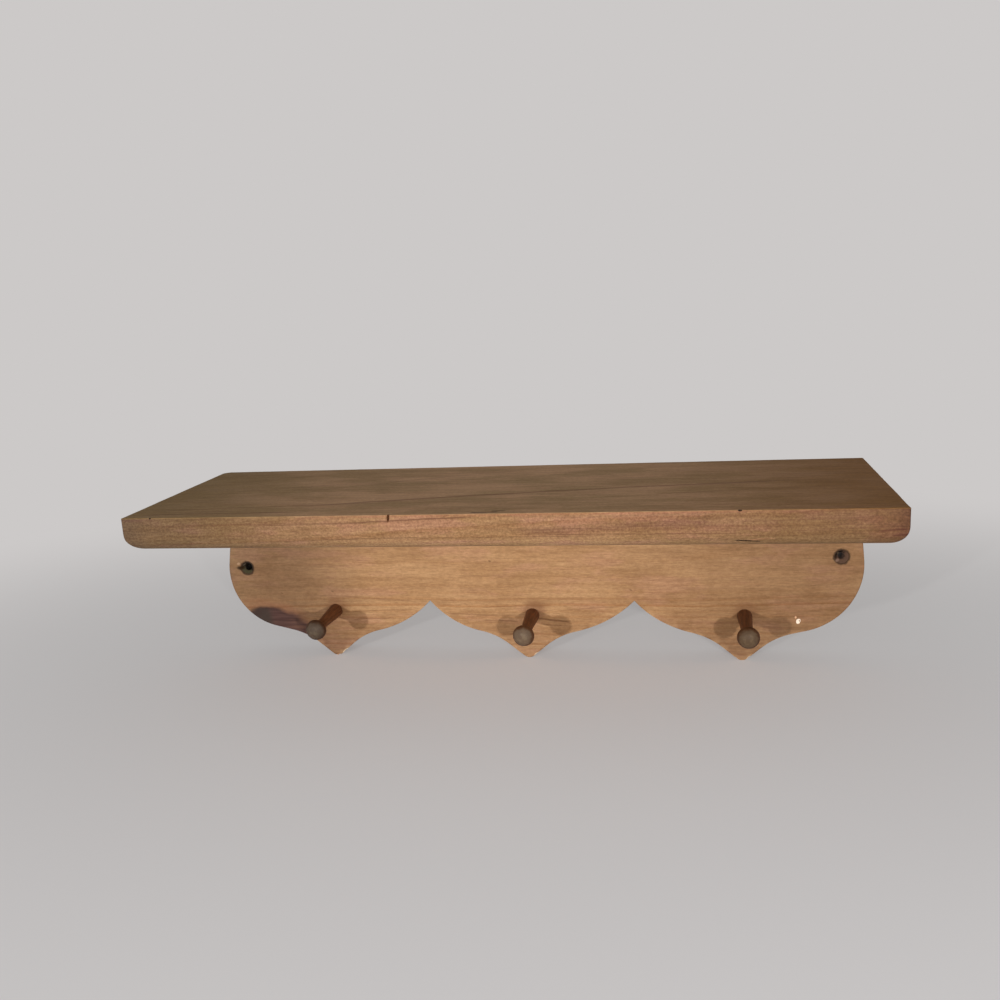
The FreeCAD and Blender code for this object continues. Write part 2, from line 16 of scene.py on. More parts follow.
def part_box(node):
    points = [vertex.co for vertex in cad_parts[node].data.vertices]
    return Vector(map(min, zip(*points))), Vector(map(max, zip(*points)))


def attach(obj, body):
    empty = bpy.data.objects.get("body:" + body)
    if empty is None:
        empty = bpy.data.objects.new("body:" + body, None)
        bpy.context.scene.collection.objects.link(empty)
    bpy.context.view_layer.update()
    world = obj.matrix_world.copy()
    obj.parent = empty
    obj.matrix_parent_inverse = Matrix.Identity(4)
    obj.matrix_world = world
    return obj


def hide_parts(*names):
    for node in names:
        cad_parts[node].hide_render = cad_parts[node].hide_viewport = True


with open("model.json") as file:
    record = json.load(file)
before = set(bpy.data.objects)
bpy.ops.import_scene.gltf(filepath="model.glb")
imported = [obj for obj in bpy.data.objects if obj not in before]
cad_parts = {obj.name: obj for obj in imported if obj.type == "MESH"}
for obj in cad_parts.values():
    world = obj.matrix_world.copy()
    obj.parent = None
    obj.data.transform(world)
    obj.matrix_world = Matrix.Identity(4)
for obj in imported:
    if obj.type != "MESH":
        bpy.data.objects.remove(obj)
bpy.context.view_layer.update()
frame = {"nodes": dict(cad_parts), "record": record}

MM = 0.001

# Shelf board: the lower edge is rounded over at the front and both ends. HOLD is how far in from an
# arris the outermost ring of a flat face lies
SHELF_LOW, SHELF_HIGH = (np.round(corner, 7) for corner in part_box("shelf_board"))
ROUND_OVER = 10.4 * MM
ROUND_STEPS = 30
CORNER_ROUNDS = (1.1 * MM, 1.1 * MM, 1.6 * MM, 6.0 * MM)
CORNER_LEAST = 0.5 * MM
CORNER_POINTS = 9
CORNER_EASE = 0.45 * MM
TOP_EASE = (0.3 * MM, 0.9 * MM)
TOP_WAVES = (21 * MM, 4 * MM)
BACK_ARRIS = 0.5 * MM
ARRIS_STEPS = 6
HOLD = 0.3 * MM
SIDE_SPACING = 1.5 * MM
ROW_SPACING = 0.6 * MM
TOP_SPACING = 4.0 * MM
END_SPACING = 1.6 * MM
BACK_SPACING = 2.2 * MM
SHARE_MARGIN = 0.006
SIDE_FACING = 0.999

# Meshes: from which turn an edge is sharp, how near doubled points lie, and how far inner points
# stay from a rim
SHARP_ANGLE = 38
DOUBLED_GAP = 0.002 * MM
RIM_GAP = 0.45 * MM
EMPTY = np.zeros((0, 2))

# Back board: its outline in the same sizes as the construction's
BOARD_LOW, BOARD_HIGH = (np.round(corner, 7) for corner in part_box("back_board"))
BOARD_MIDDLE = (BOARD_LOW[0] + BOARD_HIGH[0]) / 2
BOARD_HALF = (BOARD_HIGH[0] - BOARD_LOW[0]) / 2
TIP_PITCH = 0.65 * BOARD_HALF
LOBE_ROUNDS = [share * (BOARD_HALF - TIP_PITCH) for share in (0.54, 0.60)]
MIDDLE_TIP_SHIFT = 1.7 * MM
CUSP_SHIFT = 0.6 * MM
SCALLOP_RISE = 38.0 * MM
TIP_ROUND = 5.0 * MM
FLANK_LENGTH = 11.0 * MM
FLANK_ANGLE = 40
HOLLOW_RADIUS = 45.0 * MM
LEDGE_ANGLE = 13
LEAN_ANGLES = (9, 5)
OUTLINE_STEP = 0.8 * MM
TOP_STEP = 2.2 * MM
LEAST_STEP = 0.05 * MM
LOBE_STEP = 1.6 * MM
BOARD_ARRIS = (0.3 * MM, 0.9 * MM)
BOARD_WAVES = (17 * MM, 3 * MM)
BACK_SHARE = 0.8
WEAR_REACH = 0.9 * MM
WEAR_TOP = 3 * MM
WALL_ROWS = 6
WALL_ENDS = (1.5 * MM, 1.2 * MM)
FACE_SPACING = 3.5 * MM

# Holes for the wall screws
SCREW_RADIUS = 2.2 * MM
SINK_RADIUS = 4.2 * MM
SINK_DEPTH = 2.3 * MM
SPLIT_REACH = 2.6 * MM
SPLIT_WIDTH = 4.6 * MM
SPLIT_DEPTH = 2.2 * MM
SPLIT_ROOT = 1.2 * MM
SPLIT_TIP = 0.1 * MM
SPLIT_OVER = 0.4 * MM
HOLE_WOBBLE = 0.06
CONE_STEPS = 7
BORE_STEPS = 12
BORE_START = 0.6 * MM

# Pegs: distances are from the board's face outwards
PEG_NAMES = ("peg_left", "peg_middle", "peg_right")
TENON_LENGTH = 12.5 * MM
TENON_RADIUS = 4.0 * MM
ROOT_RADIUS = 4.6 * MM
NECK_RADIUS = 3.0 * MM
HEAD_RADIUS = 6.6 * MM
HEAD_LENGTH = 6.0 * MM
FLARE_LENGTH = 4.2 * MM
DOME_RISE = 3.2 * MM
RIM_ROUND = 2.6 * MM
TENON_EASE = 0.4 * MM
PEG_POINTS = 64
PEG_WOBBLE = 0.035
TURNED_PERIOD = 6 * MM
TURNED_WAVES = 0.7
ROOT_EASE = 0.1 * MM
FLARE_SHARES = np.linspace(0.12, 0.9, 8)
FLARE_POWER = 2.2
TENON_STEP, FOOT_STEP, SHAFT_STEP, RIM_STEP, DOME_STEP = (s * MM for s in (2, 0.6, 0.9, 0.3, 0.35))
SOCKET_GAP = 0.1 * MM
SOCKET_OVER = 0.5 * MM
CUT_OVER = 1.0 * MM

# Dowels between the two boards
DOWEL_RADIUS = 4.0 * MM
DOWEL_SHARES = (-0.75, -0.25, 0.25, 0.75)
DOWEL_END_GAP = 0.5 * MM
DOWEL_POINTS = 32

# Camera of the photograph
CAMERA_PLACE = Vector((0.0996, -0.5987, 0.1722))
CAMERA_AIM = Vector((-0.0134, -0.0190, 0.0405))
CAMERA_ROLL = -3.379
CAMERA_LENS = 35.18
CAMERA_SENSOR = 36

# Lamps: place, size, and how bright each makes a face turned to it
LAMP_AIM = Vector((0, -0.03, 0))
LAMPS = {
    "lamp_right": ((0.442, -1.014, 0.164), 0.045, 0.41),
    "lamp_left": ((-0.762, -1.631, 0.251), 0.07, 0.41),
    "fill_front": ((0.05, -1.5, 0.75), 0.9, 0.08),
}
WORLD_TONE = (1.0, 0.99, 0.98, 1)
WORLD_STRENGTH = 0.25


def box_middle(node):
    """The middle of a node's box."""
    low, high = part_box(node)
    return np.array((low + high) / 2)


def new_object(name, data):
    """A new object in the scene."""
    made = bpy.data.objects.new(name, data)
    bpy.context.scene.collection.objects.link(made)
    return made


def corners_of(piece):
    """The places of a piece's points."""
    return np.array([v.co for v in piece.data.vertices])


def mark(piece, name, values):
    """Writes a number at each point of a piece, for its material."""
    marks = piece.data.attributes.new(name, "FLOAT", "POINT")
    marks.data.foreach_set("value", values.astype(np.float32))


def even_turns(count):
    """Even turns round a circle, in radians."""
    return np.linspace(0, 2 * math.pi, count, endpoint=False)


def columns(*parts):
    """Rows of coordinates, from columns or single values."""
    return np.column_stack(np.broadcast_arrays(*parts))


def screw_places():
    """Where the two wall screws go through the board, from the record's mounts."""
    mounts = frame["record"]["mounts"]
    return [np.array(m["pos_m"]) for m in mounts if m["kind"] == "bore"]


def waves(points, period, seed):
    """Smooth noise from -1 to 1 at each point."""
    shift = Vector((seed, 2.7 * seed, -1.3 * seed))
    return np.array([noise.noise(Vector(p) / period + shift) for p in points])


def uneven(points, sizes, periods, share, seed):
    """How wide a worn arris is at each point: long waves between two sizes, and short ones on top."""
    wide = sizes[0] + (sizes[1] - sizes[0]) * (0.5 + 0.5 * waves(points, periods[0], seed))
    return wide + sizes[0] * share * waves(points, periods[1], seed + 1)


def polar(centre, radius, angle):
    """A point at an angle, in degrees, round a centre."""
    turn = math.radians(angle)
    return np.array((centre[0] + radius * math.cos(turn), centre[1] + radius * math.sin(turn)))


def arc(centre, radius, start, end, step=OUTLINE_STEP):
    """Points on an arc between two angles in degrees."""
    sweep = math.radians(end - start)
    count = max(3, math.ceil(abs(sweep) * radius / step) + 1)
    turns = math.radians(start) + sweep * np.linspace(0, 1, count)
    return columns(centre[0] + radius * np.cos(turns), centre[1] + radius * np.sin(turns))


def straight(start, end, step=OUTLINE_STEP):
    """Points on a straight line."""
    start, end = np.array(start), np.array(end)
    count = max(2, math.ceil(np.linalg.norm(end - start) / step) + 1)
    return start + (end - start) * np.linspace(0, 1, count)[:, None]


def press(points, centre, reach, push):
    """Moves the points near a place by up to push, and less with distance."""
    away = np.linalg.norm((points - centre) / reach, axis=1)
    points += (np.clip(1 - away ** 2, 0, 1) ** 2)[:, None] * np.array(push)


def inside(outline, points):
    """Which points lie inside a closed outline."""
    found = np.zeros(len(points), bool)
    for start, end in zip(outline, np.roll(outline, -1, axis=0)):
        if start[1] == end[1]:
            continue
        spans = (points[:, 1] < start[1]) != (points[:, 1] < end[1])
        cross = start[0] + (points[:, 1] - start[1]) * (end[0] - start[0]) / (end[1] - start[1])
        found ^= spans & (points[:, 0] < cross)
    return found


def grid(low, high, spacing):
    """Points of a grid, every second row shifted by half a step."""
    across = np.arange(low[0], high[0], spacing)
    up = np.arange(low[1], high[1], spacing)
    x, y = np.meshgrid(across, up)
    x[::2] += spacing / 2
    return columns(x.ravel(), y.ravel())


def rim_gaps(outline, points):
    """How far each point is from a closed outline."""
    along = np.roll(outline, -1, axis=0) - outline
    squares = (along ** 2).sum(1)
    gaps = []
    for point in points:
        share = np.clip(((point - outline) * along).sum(1) / squares, 0, 1)
        gaps.append(np.linalg.norm(outline + along * share[:, None] - point, axis=1).min())
    return np.array(gaps)


def inner_points(outline, spacing, spots):
    """Points inside an outline, closer together in round spots (x, y, radius, spacing)."""
    points = grid(outline.min(0), outline.max(0), spacing)
    for x, y, radius, fine in spots:
        spot = np.array((x, y))
        points = points[np.linalg.norm(points - spot, axis=1) > radius + spacing / 2]
        extra = grid(spot - radius, spot + radius, fine)
        extra = extra[np.linalg.norm(extra - spot, axis=1) < radius]
        points = np.vstack((points, extra))
    points = points[inside(outline, points)]
    return points[rim_gaps(outline, points) > RIM_GAP]


def fill(ring, axis, inner):
    """Triangles over a flat closed ring: their corners count the ring first, then the inner points."""
    keep = [k for k in range(3) if k != axis]
    flat = [Vector(p) for p in np.vstack((ring[:, keep], inner)) / MM]
    edges = [(k, (k + 1) % len(ring)) for k in range(len(ring))]
    made = delaunay_2d_cdt(flat, edges, [], 1, 1e-6)
    return [[made[3][corner][0] for corner in face] for face in made[2]]


def add_piece(name, points, faces):
    """A new mesh object from points and faces."""
    mesh = bpy.data.meshes.new(name)
    mesh.from_pydata([tuple(p) for p in points], [], faces)
    return new_object(name, mesh)


def smooth(piece):
    """Smooth shading that is sharp only where the faces really turn."""
    piece.data.shade_smooth()
    piece.data.set_sharp_from_angle(angle=math.radians(SHARP_ANGLE))


def outward(piece):
    """Turns every face outwards and drops what is doubled."""
    shape = bmesh.new()
    shape.from_mesh(piece.data)
    bmesh.ops.remove_doubles(shape, verts=shape.verts, dist=DOUBLED_GAP)
    bmesh.ops.recalc_face_normals(shape, faces=shape.faces)
    shape.to_mesh(piece.data)
    shape.free()


def strips(rows, count):
    """The faces between rings of points that follow one another."""
    faces = []
    for low in range(0, (rows - 1) * count, count):
        for k in range(count):
            after = (k + 1) % count
            faces.append((low + k, low + after, low + count + after, low + count + k))
    return faces


def slab(name, rings, axis, inners):
    """A closed piece from rings of points, its two flat ends filled with triangles."""
    count = len(rings[0])
    faces = strips(len(rings), count)
    points = [np.vstack(rings)]
    total = count * len(rings)
    for ring, start, inner in ((rings[0], 0, inners[0]), (rings[-1], total - count, inners[1])):
        added = np.insert(inner, axis, ring[:, axis].mean(), axis=1)
        index = np.concatenate((start + np.arange(count), total + np.arange(len(added))))
        faces += [[int(index[corner]) for corner in face] for face in fill(ring, axis, inner)]
        points.append(added)
        total += len(added)
    return add_piece(name, np.vstack(points), faces)


def lathe(name, profile, centre, wobble=0.0, seed=0.0):
    """A solid turned about Y: profile holds (y, radius) pairs, with radius 0 at both ends."""
    turns = even_turns(PEG_POINTS)
    cos, sin = np.cos(turns), np.sin(turns)
    points = []
    for y, radius in profile[1:-1]:
        rough = waves(columns(cos, y / TURNED_PERIOD, sin), TURNED_WAVES, seed)
        radii = radius * (1 - wobble * (1 + rough) / 2)
        points.append(columns(radii * cos, y, radii * sin))
    faces = strips(len(points), PEG_POINTS)
    first = len(points) * PEG_POINTS
    last = first + 1
    for k in range(PEG_POINTS):
        after = (k + 1) % PEG_POINTS
        faces.append((first, after, k))
        faces.append((last, last - 1 - PEG_POINTS + k, last - 1 - PEG_POINTS + after))
    points.append(np.array([(0, profile[0][0], 0), (0, profile[-1][0], 0)]))
    return add_piece(name, np.vstack(points) + np.array((centre[0], 0, centre[2])), faces)


def cut(piece, cutters):
    """Takes the cutters' shapes out of a piece, which leaves it in triangles, and deletes them."""
    for cutter in cutters:
        outward(cutter)
        tool = piece.modifiers.new("cut", "BOOLEAN")
        tool.operation = "DIFFERENCE"
        tool.solver = "EXACT"
        tool.object = cutter
    graph = bpy.context.evaluated_depsgraph_get()
    made = bpy.data.meshes.new_from_object(piece.evaluated_get(graph))
    piece.modifiers.clear()
    shape = bmesh.new()
    shape.from_mesh(made)
    bmesh.ops.triangulate(shape, faces=shape.faces)
    shape.to_mesh(made)
    shape.free()
    piece.data = made
    for cutter in cutters:
        bpy.data.objects.remove(cutter)


def shelf_ring(height, ends, front, back, shares):
    """One level of the shelf's skin, anticlockwise from above, with its outward normals."""
    low = np.array((SHELF_LOW[0] + ends, SHELF_LOW[1] + front))
    high = np.array((SHELF_HIGH[0] - ends, SHELF_HIGH[1] - back))
    corners = ((low[0], low[1]), (high[0], low[1]), (high[0], high[1]), (low[0], high[1]))
    inward = ((1, 1), (-1, 1), (-1, -1), (1, -1))
    points, normals = [], []
    rounds = [max(r - max(ends, front if k < 2 else back), CORNER_LEAST) for k, r in enumerate(CORNER_ROUNDS)]
    centres = [np.array(c) + np.array(i) * r for c, i, r in zip(corners, inward, rounds)]
    for k in range(4):
        turns = np.radians(180 + 90 * k + np.linspace(0, 90, CORNER_POINTS))
        way = columns(np.cos(turns), np.sin(turns))
        points.append(centres[k] + rounds[k] * way)
        normals.append(way)
        after = (k + 1) % 4
        start = centres[k] + rounds[k] * way[-1]
        end = centres[after] + rounds[after] * way[-1]
        inner = shares[k][(shares[k] > SHARE_MARGIN) & (shares[k] < 1 - SHARE_MARGIN)]
        points.append(start + (end - start) * inner[:, None])
        normals.append(np.tile(way[-1], (len(inner), 1)))
    return np.insert(np.vstack(points), 2, height, axis=1), np.insert(np.vstack(normals), 2, 0, axis=1)


def shelf_rings():
    """The shelf's skin from its underside up: round-over, upright faces and eased top edge."""
    length, depth = (SHELF_HIGH - SHELF_LOW)[:2]
    front = np.linspace(0, 1, round(length / SIDE_SPACING))
    end = np.linspace(0, 1, round(depth / END_SPACING))
    back = np.linspace(0, 1, round(length / BACK_SPACING))
    shares = (front, end, back, end)
    bottom, top = SHELF_LOW[2], SHELF_HIGH[2]
    rings = [shelf_ring(bottom, ROUND_OVER + HOLD, ROUND_OVER + HOLD, BACK_ARRIS + HOLD, shares)[0]]
    for turn in np.linspace(0, math.pi / 2, ROUND_STEPS + 1):
        rise = ROUND_OVER * (1 - math.cos(turn))
        inset = ROUND_OVER * (1 - math.sin(turn))
        side = max(BACK_ARRIS - rise, 0)
        rear = BACK_ARRIS - math.sqrt(BACK_ARRIS ** 2 - side ** 2)
        rings.append(shelf_ring(bottom + rise, inset, inset, rear, shares)[0])
    rows = np.arange(bottom + ROUND_OVER + ROW_SPACING, top - TOP_EASE[1], ROW_SPACING)
    rings += [shelf_ring(height, 0, 0, 0, shares)[0] for height in rows]
    edge, normals = shelf_ring(top, 0, 0, 0, shares)
    ease = uneven(edge, TOP_EASE, TOP_WAVES, 0.6, 1)
    corner = np.abs(normals).max(axis=1) < SIDE_FACING
    ease[corner] = np.minimum(ease[corner], CORNER_EASE)
    for turn in np.linspace(0, math.pi / 2, ARRIS_STEPS + 1):
        moved = edge - normals * (ease * (1 - math.cos(turn)))[:, None]
        moved[:, 2] -= ease * (1 - math.sin(turn))
        rings.append(moved)
    rings.append(edge - normals * (ease + HOLD)[:, None])
    return rings


# Chips torn out of the wood: middle (x, y, z) and reach in millimetres, and a turn about Y in degrees
SHELF_CHIPS = {
    "nick": ((-51.5, -128.0, 56.9), (0.75, 1.5, 2.5), 9),
    "dot_left": ((-185.7, -127.8, 58.2), (0.6, 0.8, 0.5), 0),
    "dot_right": ((125.2, -127.8, 58.2), (1.0, 0.9, 0.6), 0),
    "split": ((134.5, -126.0, 43.1), (7.5, 1.1, 0.5), -6),
    "crack": ((128.6, -125.2, 42.3), (7.5, 1.0, 0.4), 5),
}
BOARD_CHIPS = {
    "splinter": ((-123.4, -19.1, -60.3), (2.6, 2.3, 1.0), -42),
    "tip_left": ((-127.6, -19.0, -63.0), (2.2, 2.6, 0.7), 4),
    "tip_middle": ((4.5, -19.0, -60.7), (2.0, 2.0, 0.85), -41),
    "tip_right": ((128.4, -19.0, -61.8), (1.6, 1.8, 0.6), 38),
    "tip_right_side": ((136.0, -19.0, -61.2), (1.6, 1.8, 0.6), -38),
    "bruise_large": ((165.0, -19.0, -37.5), (1.2, 0.5, 1.6), 20),
    "bruise_small": ((163.4, -19.0, -34.9), (0.6, 0.3, 0.7), 0),
}
CHIP_ROUGHNESS = 0.4
CHIP_WAVES = 1.8
CHIP_SHRINK = 0.35

# Dents in the shelf's top: place from DENT, reach and depth in millimetres. The top's points lie
# closer together in a round spot there (x, y, radius, spacing)
DENT = np.array((1.4, -124.5, 58.3)) * MM
DENTS = (((0, 0, 0), (4.2, 0.9, 2.0), 0.28), ((4.4, 1.5, 0), (2.6, 0.8, 2.0), 0.2))
FINE_SPOT = (DENT[0] + 2 * MM, DENT[1] + 0.5 * MM, 8 * MM, 0.55 * MM)


def chip_cutter(name, chip, seed):
    """A rough lump that takes a chip out of the wood."""
    middle, reach, turn = chip
    turning = Matrix.Rotation(math.radians(turn), 3, "Y")
    lump = bmesh.new()
    bmesh.ops.create_icosphere(lump, subdivisions=3, radius=1.0)
    for corner in lump.verts:
        bumps = noise.noise(corner.co * CHIP_WAVES + Vector((seed, 0, 0)))
        rough = 1 + CHIP_ROUGHNESS * (bumps - CHIP_SHRINK)
        corner.co = (turning @ (corner.co * rough * Vector(reach)) + Vector(middle)) * MM
    mesh = bpy.data.meshes.new(name)
    lump.to_mesh(mesh)
    lump.free()
    return new_object(name, mesh)


def chip_cutters(chips):
    """The cutters for a table of chips."""
    return [chip_cutter(name, chip, 3.0 * k) for k, (name, chip) in enumerate(chips.items())]


def dent_shelf(points):
    """The shallow dents on top of the shelf behind its front edge."""
    for place, reach, depth in DENTS:
        press(points, DENT + np.array(place) * MM, np.array(reach) * MM, (0, 0, -depth * MM))


def make_shelf():
    """The shelf board, with blind sockets for the dowels in its underside."""
    rings = shelf_rings()
    under = inner_points(rings[0][:, :2], 2 * TOP_SPACING, ())
    inners = (under, inner_points(rings[-1][:, :2], TOP_SPACING, (FINE_SPOT,)))
    shelf = slab("shelf_board_worn", rings, 2, inners)
    points = corners_of(shelf)
    dent_shelf(points)
    shelf.data.vertices.foreach_set("co", points.astype(np.float32).ravel())
    outward(shelf)
    cut(shelf, [dowel_socket(k) for k in range(len(DOWEL_SHARES))] + chip_cutters(SHELF_CHIPS))
    smooth(shelf)
    return shelf


def dowel_socket(number):
    """A cutter for one dowel's socket in both boards, along Z."""
    low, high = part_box("shelf_dowels")
    x = BOARD_MIDDLE + DOWEL_SHARES[number] * BOARD_HALF
    turns = even_turns(DOWEL_POINTS)
    radius = DOWEL_RADIUS + SOCKET_GAP
    across = x + radius * np.cos(turns)
    deep = (low[1] + high[1]) / 2 + radius * np.sin(turns)
    heights = (low[2] - DOWEL_END_GAP, high[2] + DOWEL_END_GAP)
    return slab(f"socket_{number}", [columns(across, deep, z) for z in heights], 2, (EMPTY, EMPTY))


def point_edge(x):
    """The lower edge through one point of the board, from its left ledge to its right ledge."""
    steep = FLANK_ANGLE
    centre = np.array((x, BOARD_LOW[2] + TIP_ROUND))
    foot = polar(centre, TIP_ROUND, -90 + steep)
    head = polar(foot, FLANK_LENGTH, steep)
    hollow = polar(head, HOLLOW_RADIUS, steep - 90)
    right = np.vstack((straight(foot, head), arc(hollow, HOLLOW_RADIUS, 90 + steep, 90 + LEDGE_ANGLE)))
    left = right[::-1] * (-1, 1) + (2 * x, 0)
    return np.vstack((left, arc(centre, TIP_ROUND, -90 - steep, -90 + steep, OUTLINE_STEP / 2), right))


def swell(start, cusp):
    """The arc from a ledge up to a cusp, which leaves the ledge at its own slope."""
    side = 1 if cusp[0] > start[0] else -1
    across, rise = side * (cusp[0] - start[0]), cusp[1] - start[1]
    turn = 2 * (math.degrees(math.atan2(rise, across)) - LEDGE_ANGLE)
    radius = math.hypot(across, rise) / (2 * math.sin(math.radians(turn / 2)))
    centre = polar(start, radius, 90 + side * LEDGE_ANGLE)
    low = -90 + side * LEDGE_ANGLE
    return arc(centre, radius, low, low + side * turn)


def lobe(start, side, lean):
    """The board's end from a ledge to its top corner: ledge, round corner and leaning end."""
    radius = LOBE_ROUNDS[1 if side > 0 else 0]
    middle = BOARD_MIDDLE + side * (BOARD_HALF - radius)
    foot_x = middle + side * radius * math.sin(math.radians(LEDGE_ANGLE))
    slope = math.tan(math.radians(LEDGE_ANGLE))
    foot = np.array((foot_x, start[1] + abs(foot_x - start[0]) * slope))
    centre = (middle, foot[1] + radius * math.cos(math.radians(LEDGE_ANGLE)))
    low = -90 + side * LEDGE_ANGLE
    high = lean if side > 0 else -180 - lean
    corner = arc(centre, radius, low, high)
    rise = BOARD_HIGH[2] - corner[-1][1]
    crown = (corner[-1][0] - side * rise * math.tan(math.radians(lean)), BOARD_HIGH[2])
    return np.vstack((straight(start, foot), corner, straight(corner[-1], crown, LOBE_STEP)))


def board_outline():
    """The back board seen from the front, anticlockwise from its top left corner."""
    tips = [BOARD_MIDDLE + x for x in (-TIP_PITCH, -MIDDLE_TIP_SHIFT, TIP_PITCH)]
    cusps = [BOARD_MIDDLE + CUSP_SHIFT + x for x in (-TIP_PITCH / 2, TIP_PITCH / 2)]
    cusp_height = BOARD_LOW[2] + SCALLOP_RISE
    points = [point_edge(x) for x in tips]
    parts = [lobe(points[0][0], -1, LEAN_ANGLES[0])[::-1], points[0]]
    for k, x in enumerate(cusps):
        cusp = (x, cusp_height)
        parts += [swell(points[k][-1], cusp), swell(points[k + 1][0], cusp)[::-1], points[k + 1]]
    parts.append(lobe(points[2][-1], 1, LEAN_ANGLES[1]))
    parts.append(straight(parts[-1][-1], parts[0][0], TOP_STEP))
    outline = np.vstack(parts)
    gaps = np.linalg.norm(outline - np.roll(outline, 1, axis=0), axis=1)
    return outline[gaps > LEAST_STEP]


def mitres(outline):
    """At each outline point, the outward step that moves both of its edges out by one."""
    before = outline - np.roll(outline, 1, axis=0)
    after = np.roll(outline, -1, axis=0) - outline
    sides = []
    for edge in (before, after):
        unit = edge / np.linalg.norm(edge, axis=1)[:, None]
        sides.append(columns(unit[:, 1], -unit[:, 0]))
    mean = sides[0] + sides[1]
    return mean / (mean * sides[0]).sum(1)[:, None]


def board_rings(outline):
    """The board's skin from its front face to its back: worn arris, sawn edge, arris."""
    steps = mitres(outline)
    front, back = BOARD_LOW[1], BOARD_HIGH[1]
    flat = columns(outline[:, 0], 0.0, outline[:, 1])
    worn = uneven(flat, BOARD_ARRIS, BOARD_WAVES, 0.5, 3)
    quarter = np.linspace(0, math.pi / 2, ARRIS_STEPS)
    levels = [(worn + HOLD, 0 * worn)]
    levels += [(worn * (1 - math.sin(t)), worn * (1 - math.cos(t))) for t in quarter]
    rings = [(inset, front + depth) for inset, depth in levels]
    depths = np.linspace(front + WALL_ENDS[0], back - WALL_ENDS[1], WALL_ROWS)
    rings += [(0 * worn, y) for y in depths]
    rings += [(inset * BACK_SHARE, back - depth * BACK_SHARE) for inset, depth in reversed(levels)]
    made = []
    for inset, y in rings:
        ring = outline - steps * inset[:, None]
        made.append(columns(ring[:, 0], y, ring[:, 1]))
    return made


def screw_cutter(number, place):
    """A cutter for a wall screw's hand-made hole: a rough countersink and its bore."""
    face, wall = BOARD_LOW[1], BOARD_HIGH[1]
    slope = (SINK_RADIUS - SCREW_RADIUS) / SINK_DEPTH
    cone = np.linspace(-CUT_OVER, SINK_DEPTH, CONE_STEPS)
    bore = np.linspace(SINK_DEPTH + BORE_START, wall - face + CUT_OVER, BORE_STEPS)
    profile = [(face - CUT_OVER, 0)]
    profile += [(face + d, SINK_RADIUS - slope * d) for d in cone]
    profile += [(face + d, SCREW_RADIUS) for d in bore]
    profile += [(wall + CUT_OVER, 0)]
    return lathe(f"screw_hole_{number}", profile, place, HOLE_WOBBLE, 5.0 + number)


def split_cutter(place):
    """A cutter for the short split that runs left from the left screw hole, as a thin wedge."""
    rim, height = place[0] - SINK_RADIUS, place[2]
    root, tip = rim + SPLIT_ROOT, rim - SPLIT_REACH
    out = BOARD_LOW[1] - SPLIT_OVER
    points = [
        (root, out, height + SPLIT_WIDTH / 2),
        (root, out, height - SPLIT_WIDTH / 2),
        (tip, out, height - SPLIT_TIP),
        (root, BOARD_LOW[1] + SPLIT_DEPTH, height),
    ]
    return add_piece("screw_split", points, [(0, 1, 2), (0, 3, 1), (1, 3, 2), (2, 3, 0)])


def peg_cutter(number, name):
    """A cutter for a peg's blind socket."""
    middle = box_middle(name)
    radius = TENON_RADIUS + SOCKET_GAP
    start, end = BOARD_LOW[1] - CUT_OVER, BOARD_LOW[1] + TENON_LENGTH + SOCKET_OVER
    return lathe(f"peg_socket_{number}", [(start, 0), (start, radius), (end, radius), (end, 0)], middle)


def make_board():
    """The back board, drilled for its screws, pegs and dowels."""
    outline = board_outline()
    rings = board_rings(outline)
    front = inner_points(rings[0][:, [0, 2]], FACE_SPACING, ())
    rear = inner_points(rings[-1][:, [0, 2]], 2 * FACE_SPACING, ())
    board = slab("back_board_worn", rings, 1, (front, rear))
    outward(board)
    cutters = [screw_cutter(k, place) for k, place in enumerate(screw_places())]
    cutters += [peg_cutter(k, name) for k, name in enumerate(PEG_NAMES)]
    cutters += [dowel_socket(k) for k in range(len(DOWEL_SHARES))]
    cutters += [split_cutter(screw_places()[0])] + chip_cutters(BOARD_CHIPS)
    cut(board, cutters)
    mark_edges(board, outline)
    smooth(board)
    return board


def mark_edges(board, outline):
    """Writes how near each point is to the front arris, for the wear in the board's material and the painted
    shade on the arris at its far left end.
    """
    points = corners_of(board)
    depth = points[:, 1] - BOARD_LOW[1]
    gaps = np.array([np.linalg.norm(outline - p, axis=1).min() for p in points[:, [0, 2]]])
    near = np.exp(-(np.hypot(gaps, depth) / WEAR_REACH) ** 2)
    near[points[:, 2] > BOARD_HIGH[2] - WEAR_TOP] = 0
    mark(board, "edge_wear_and_shade", near)


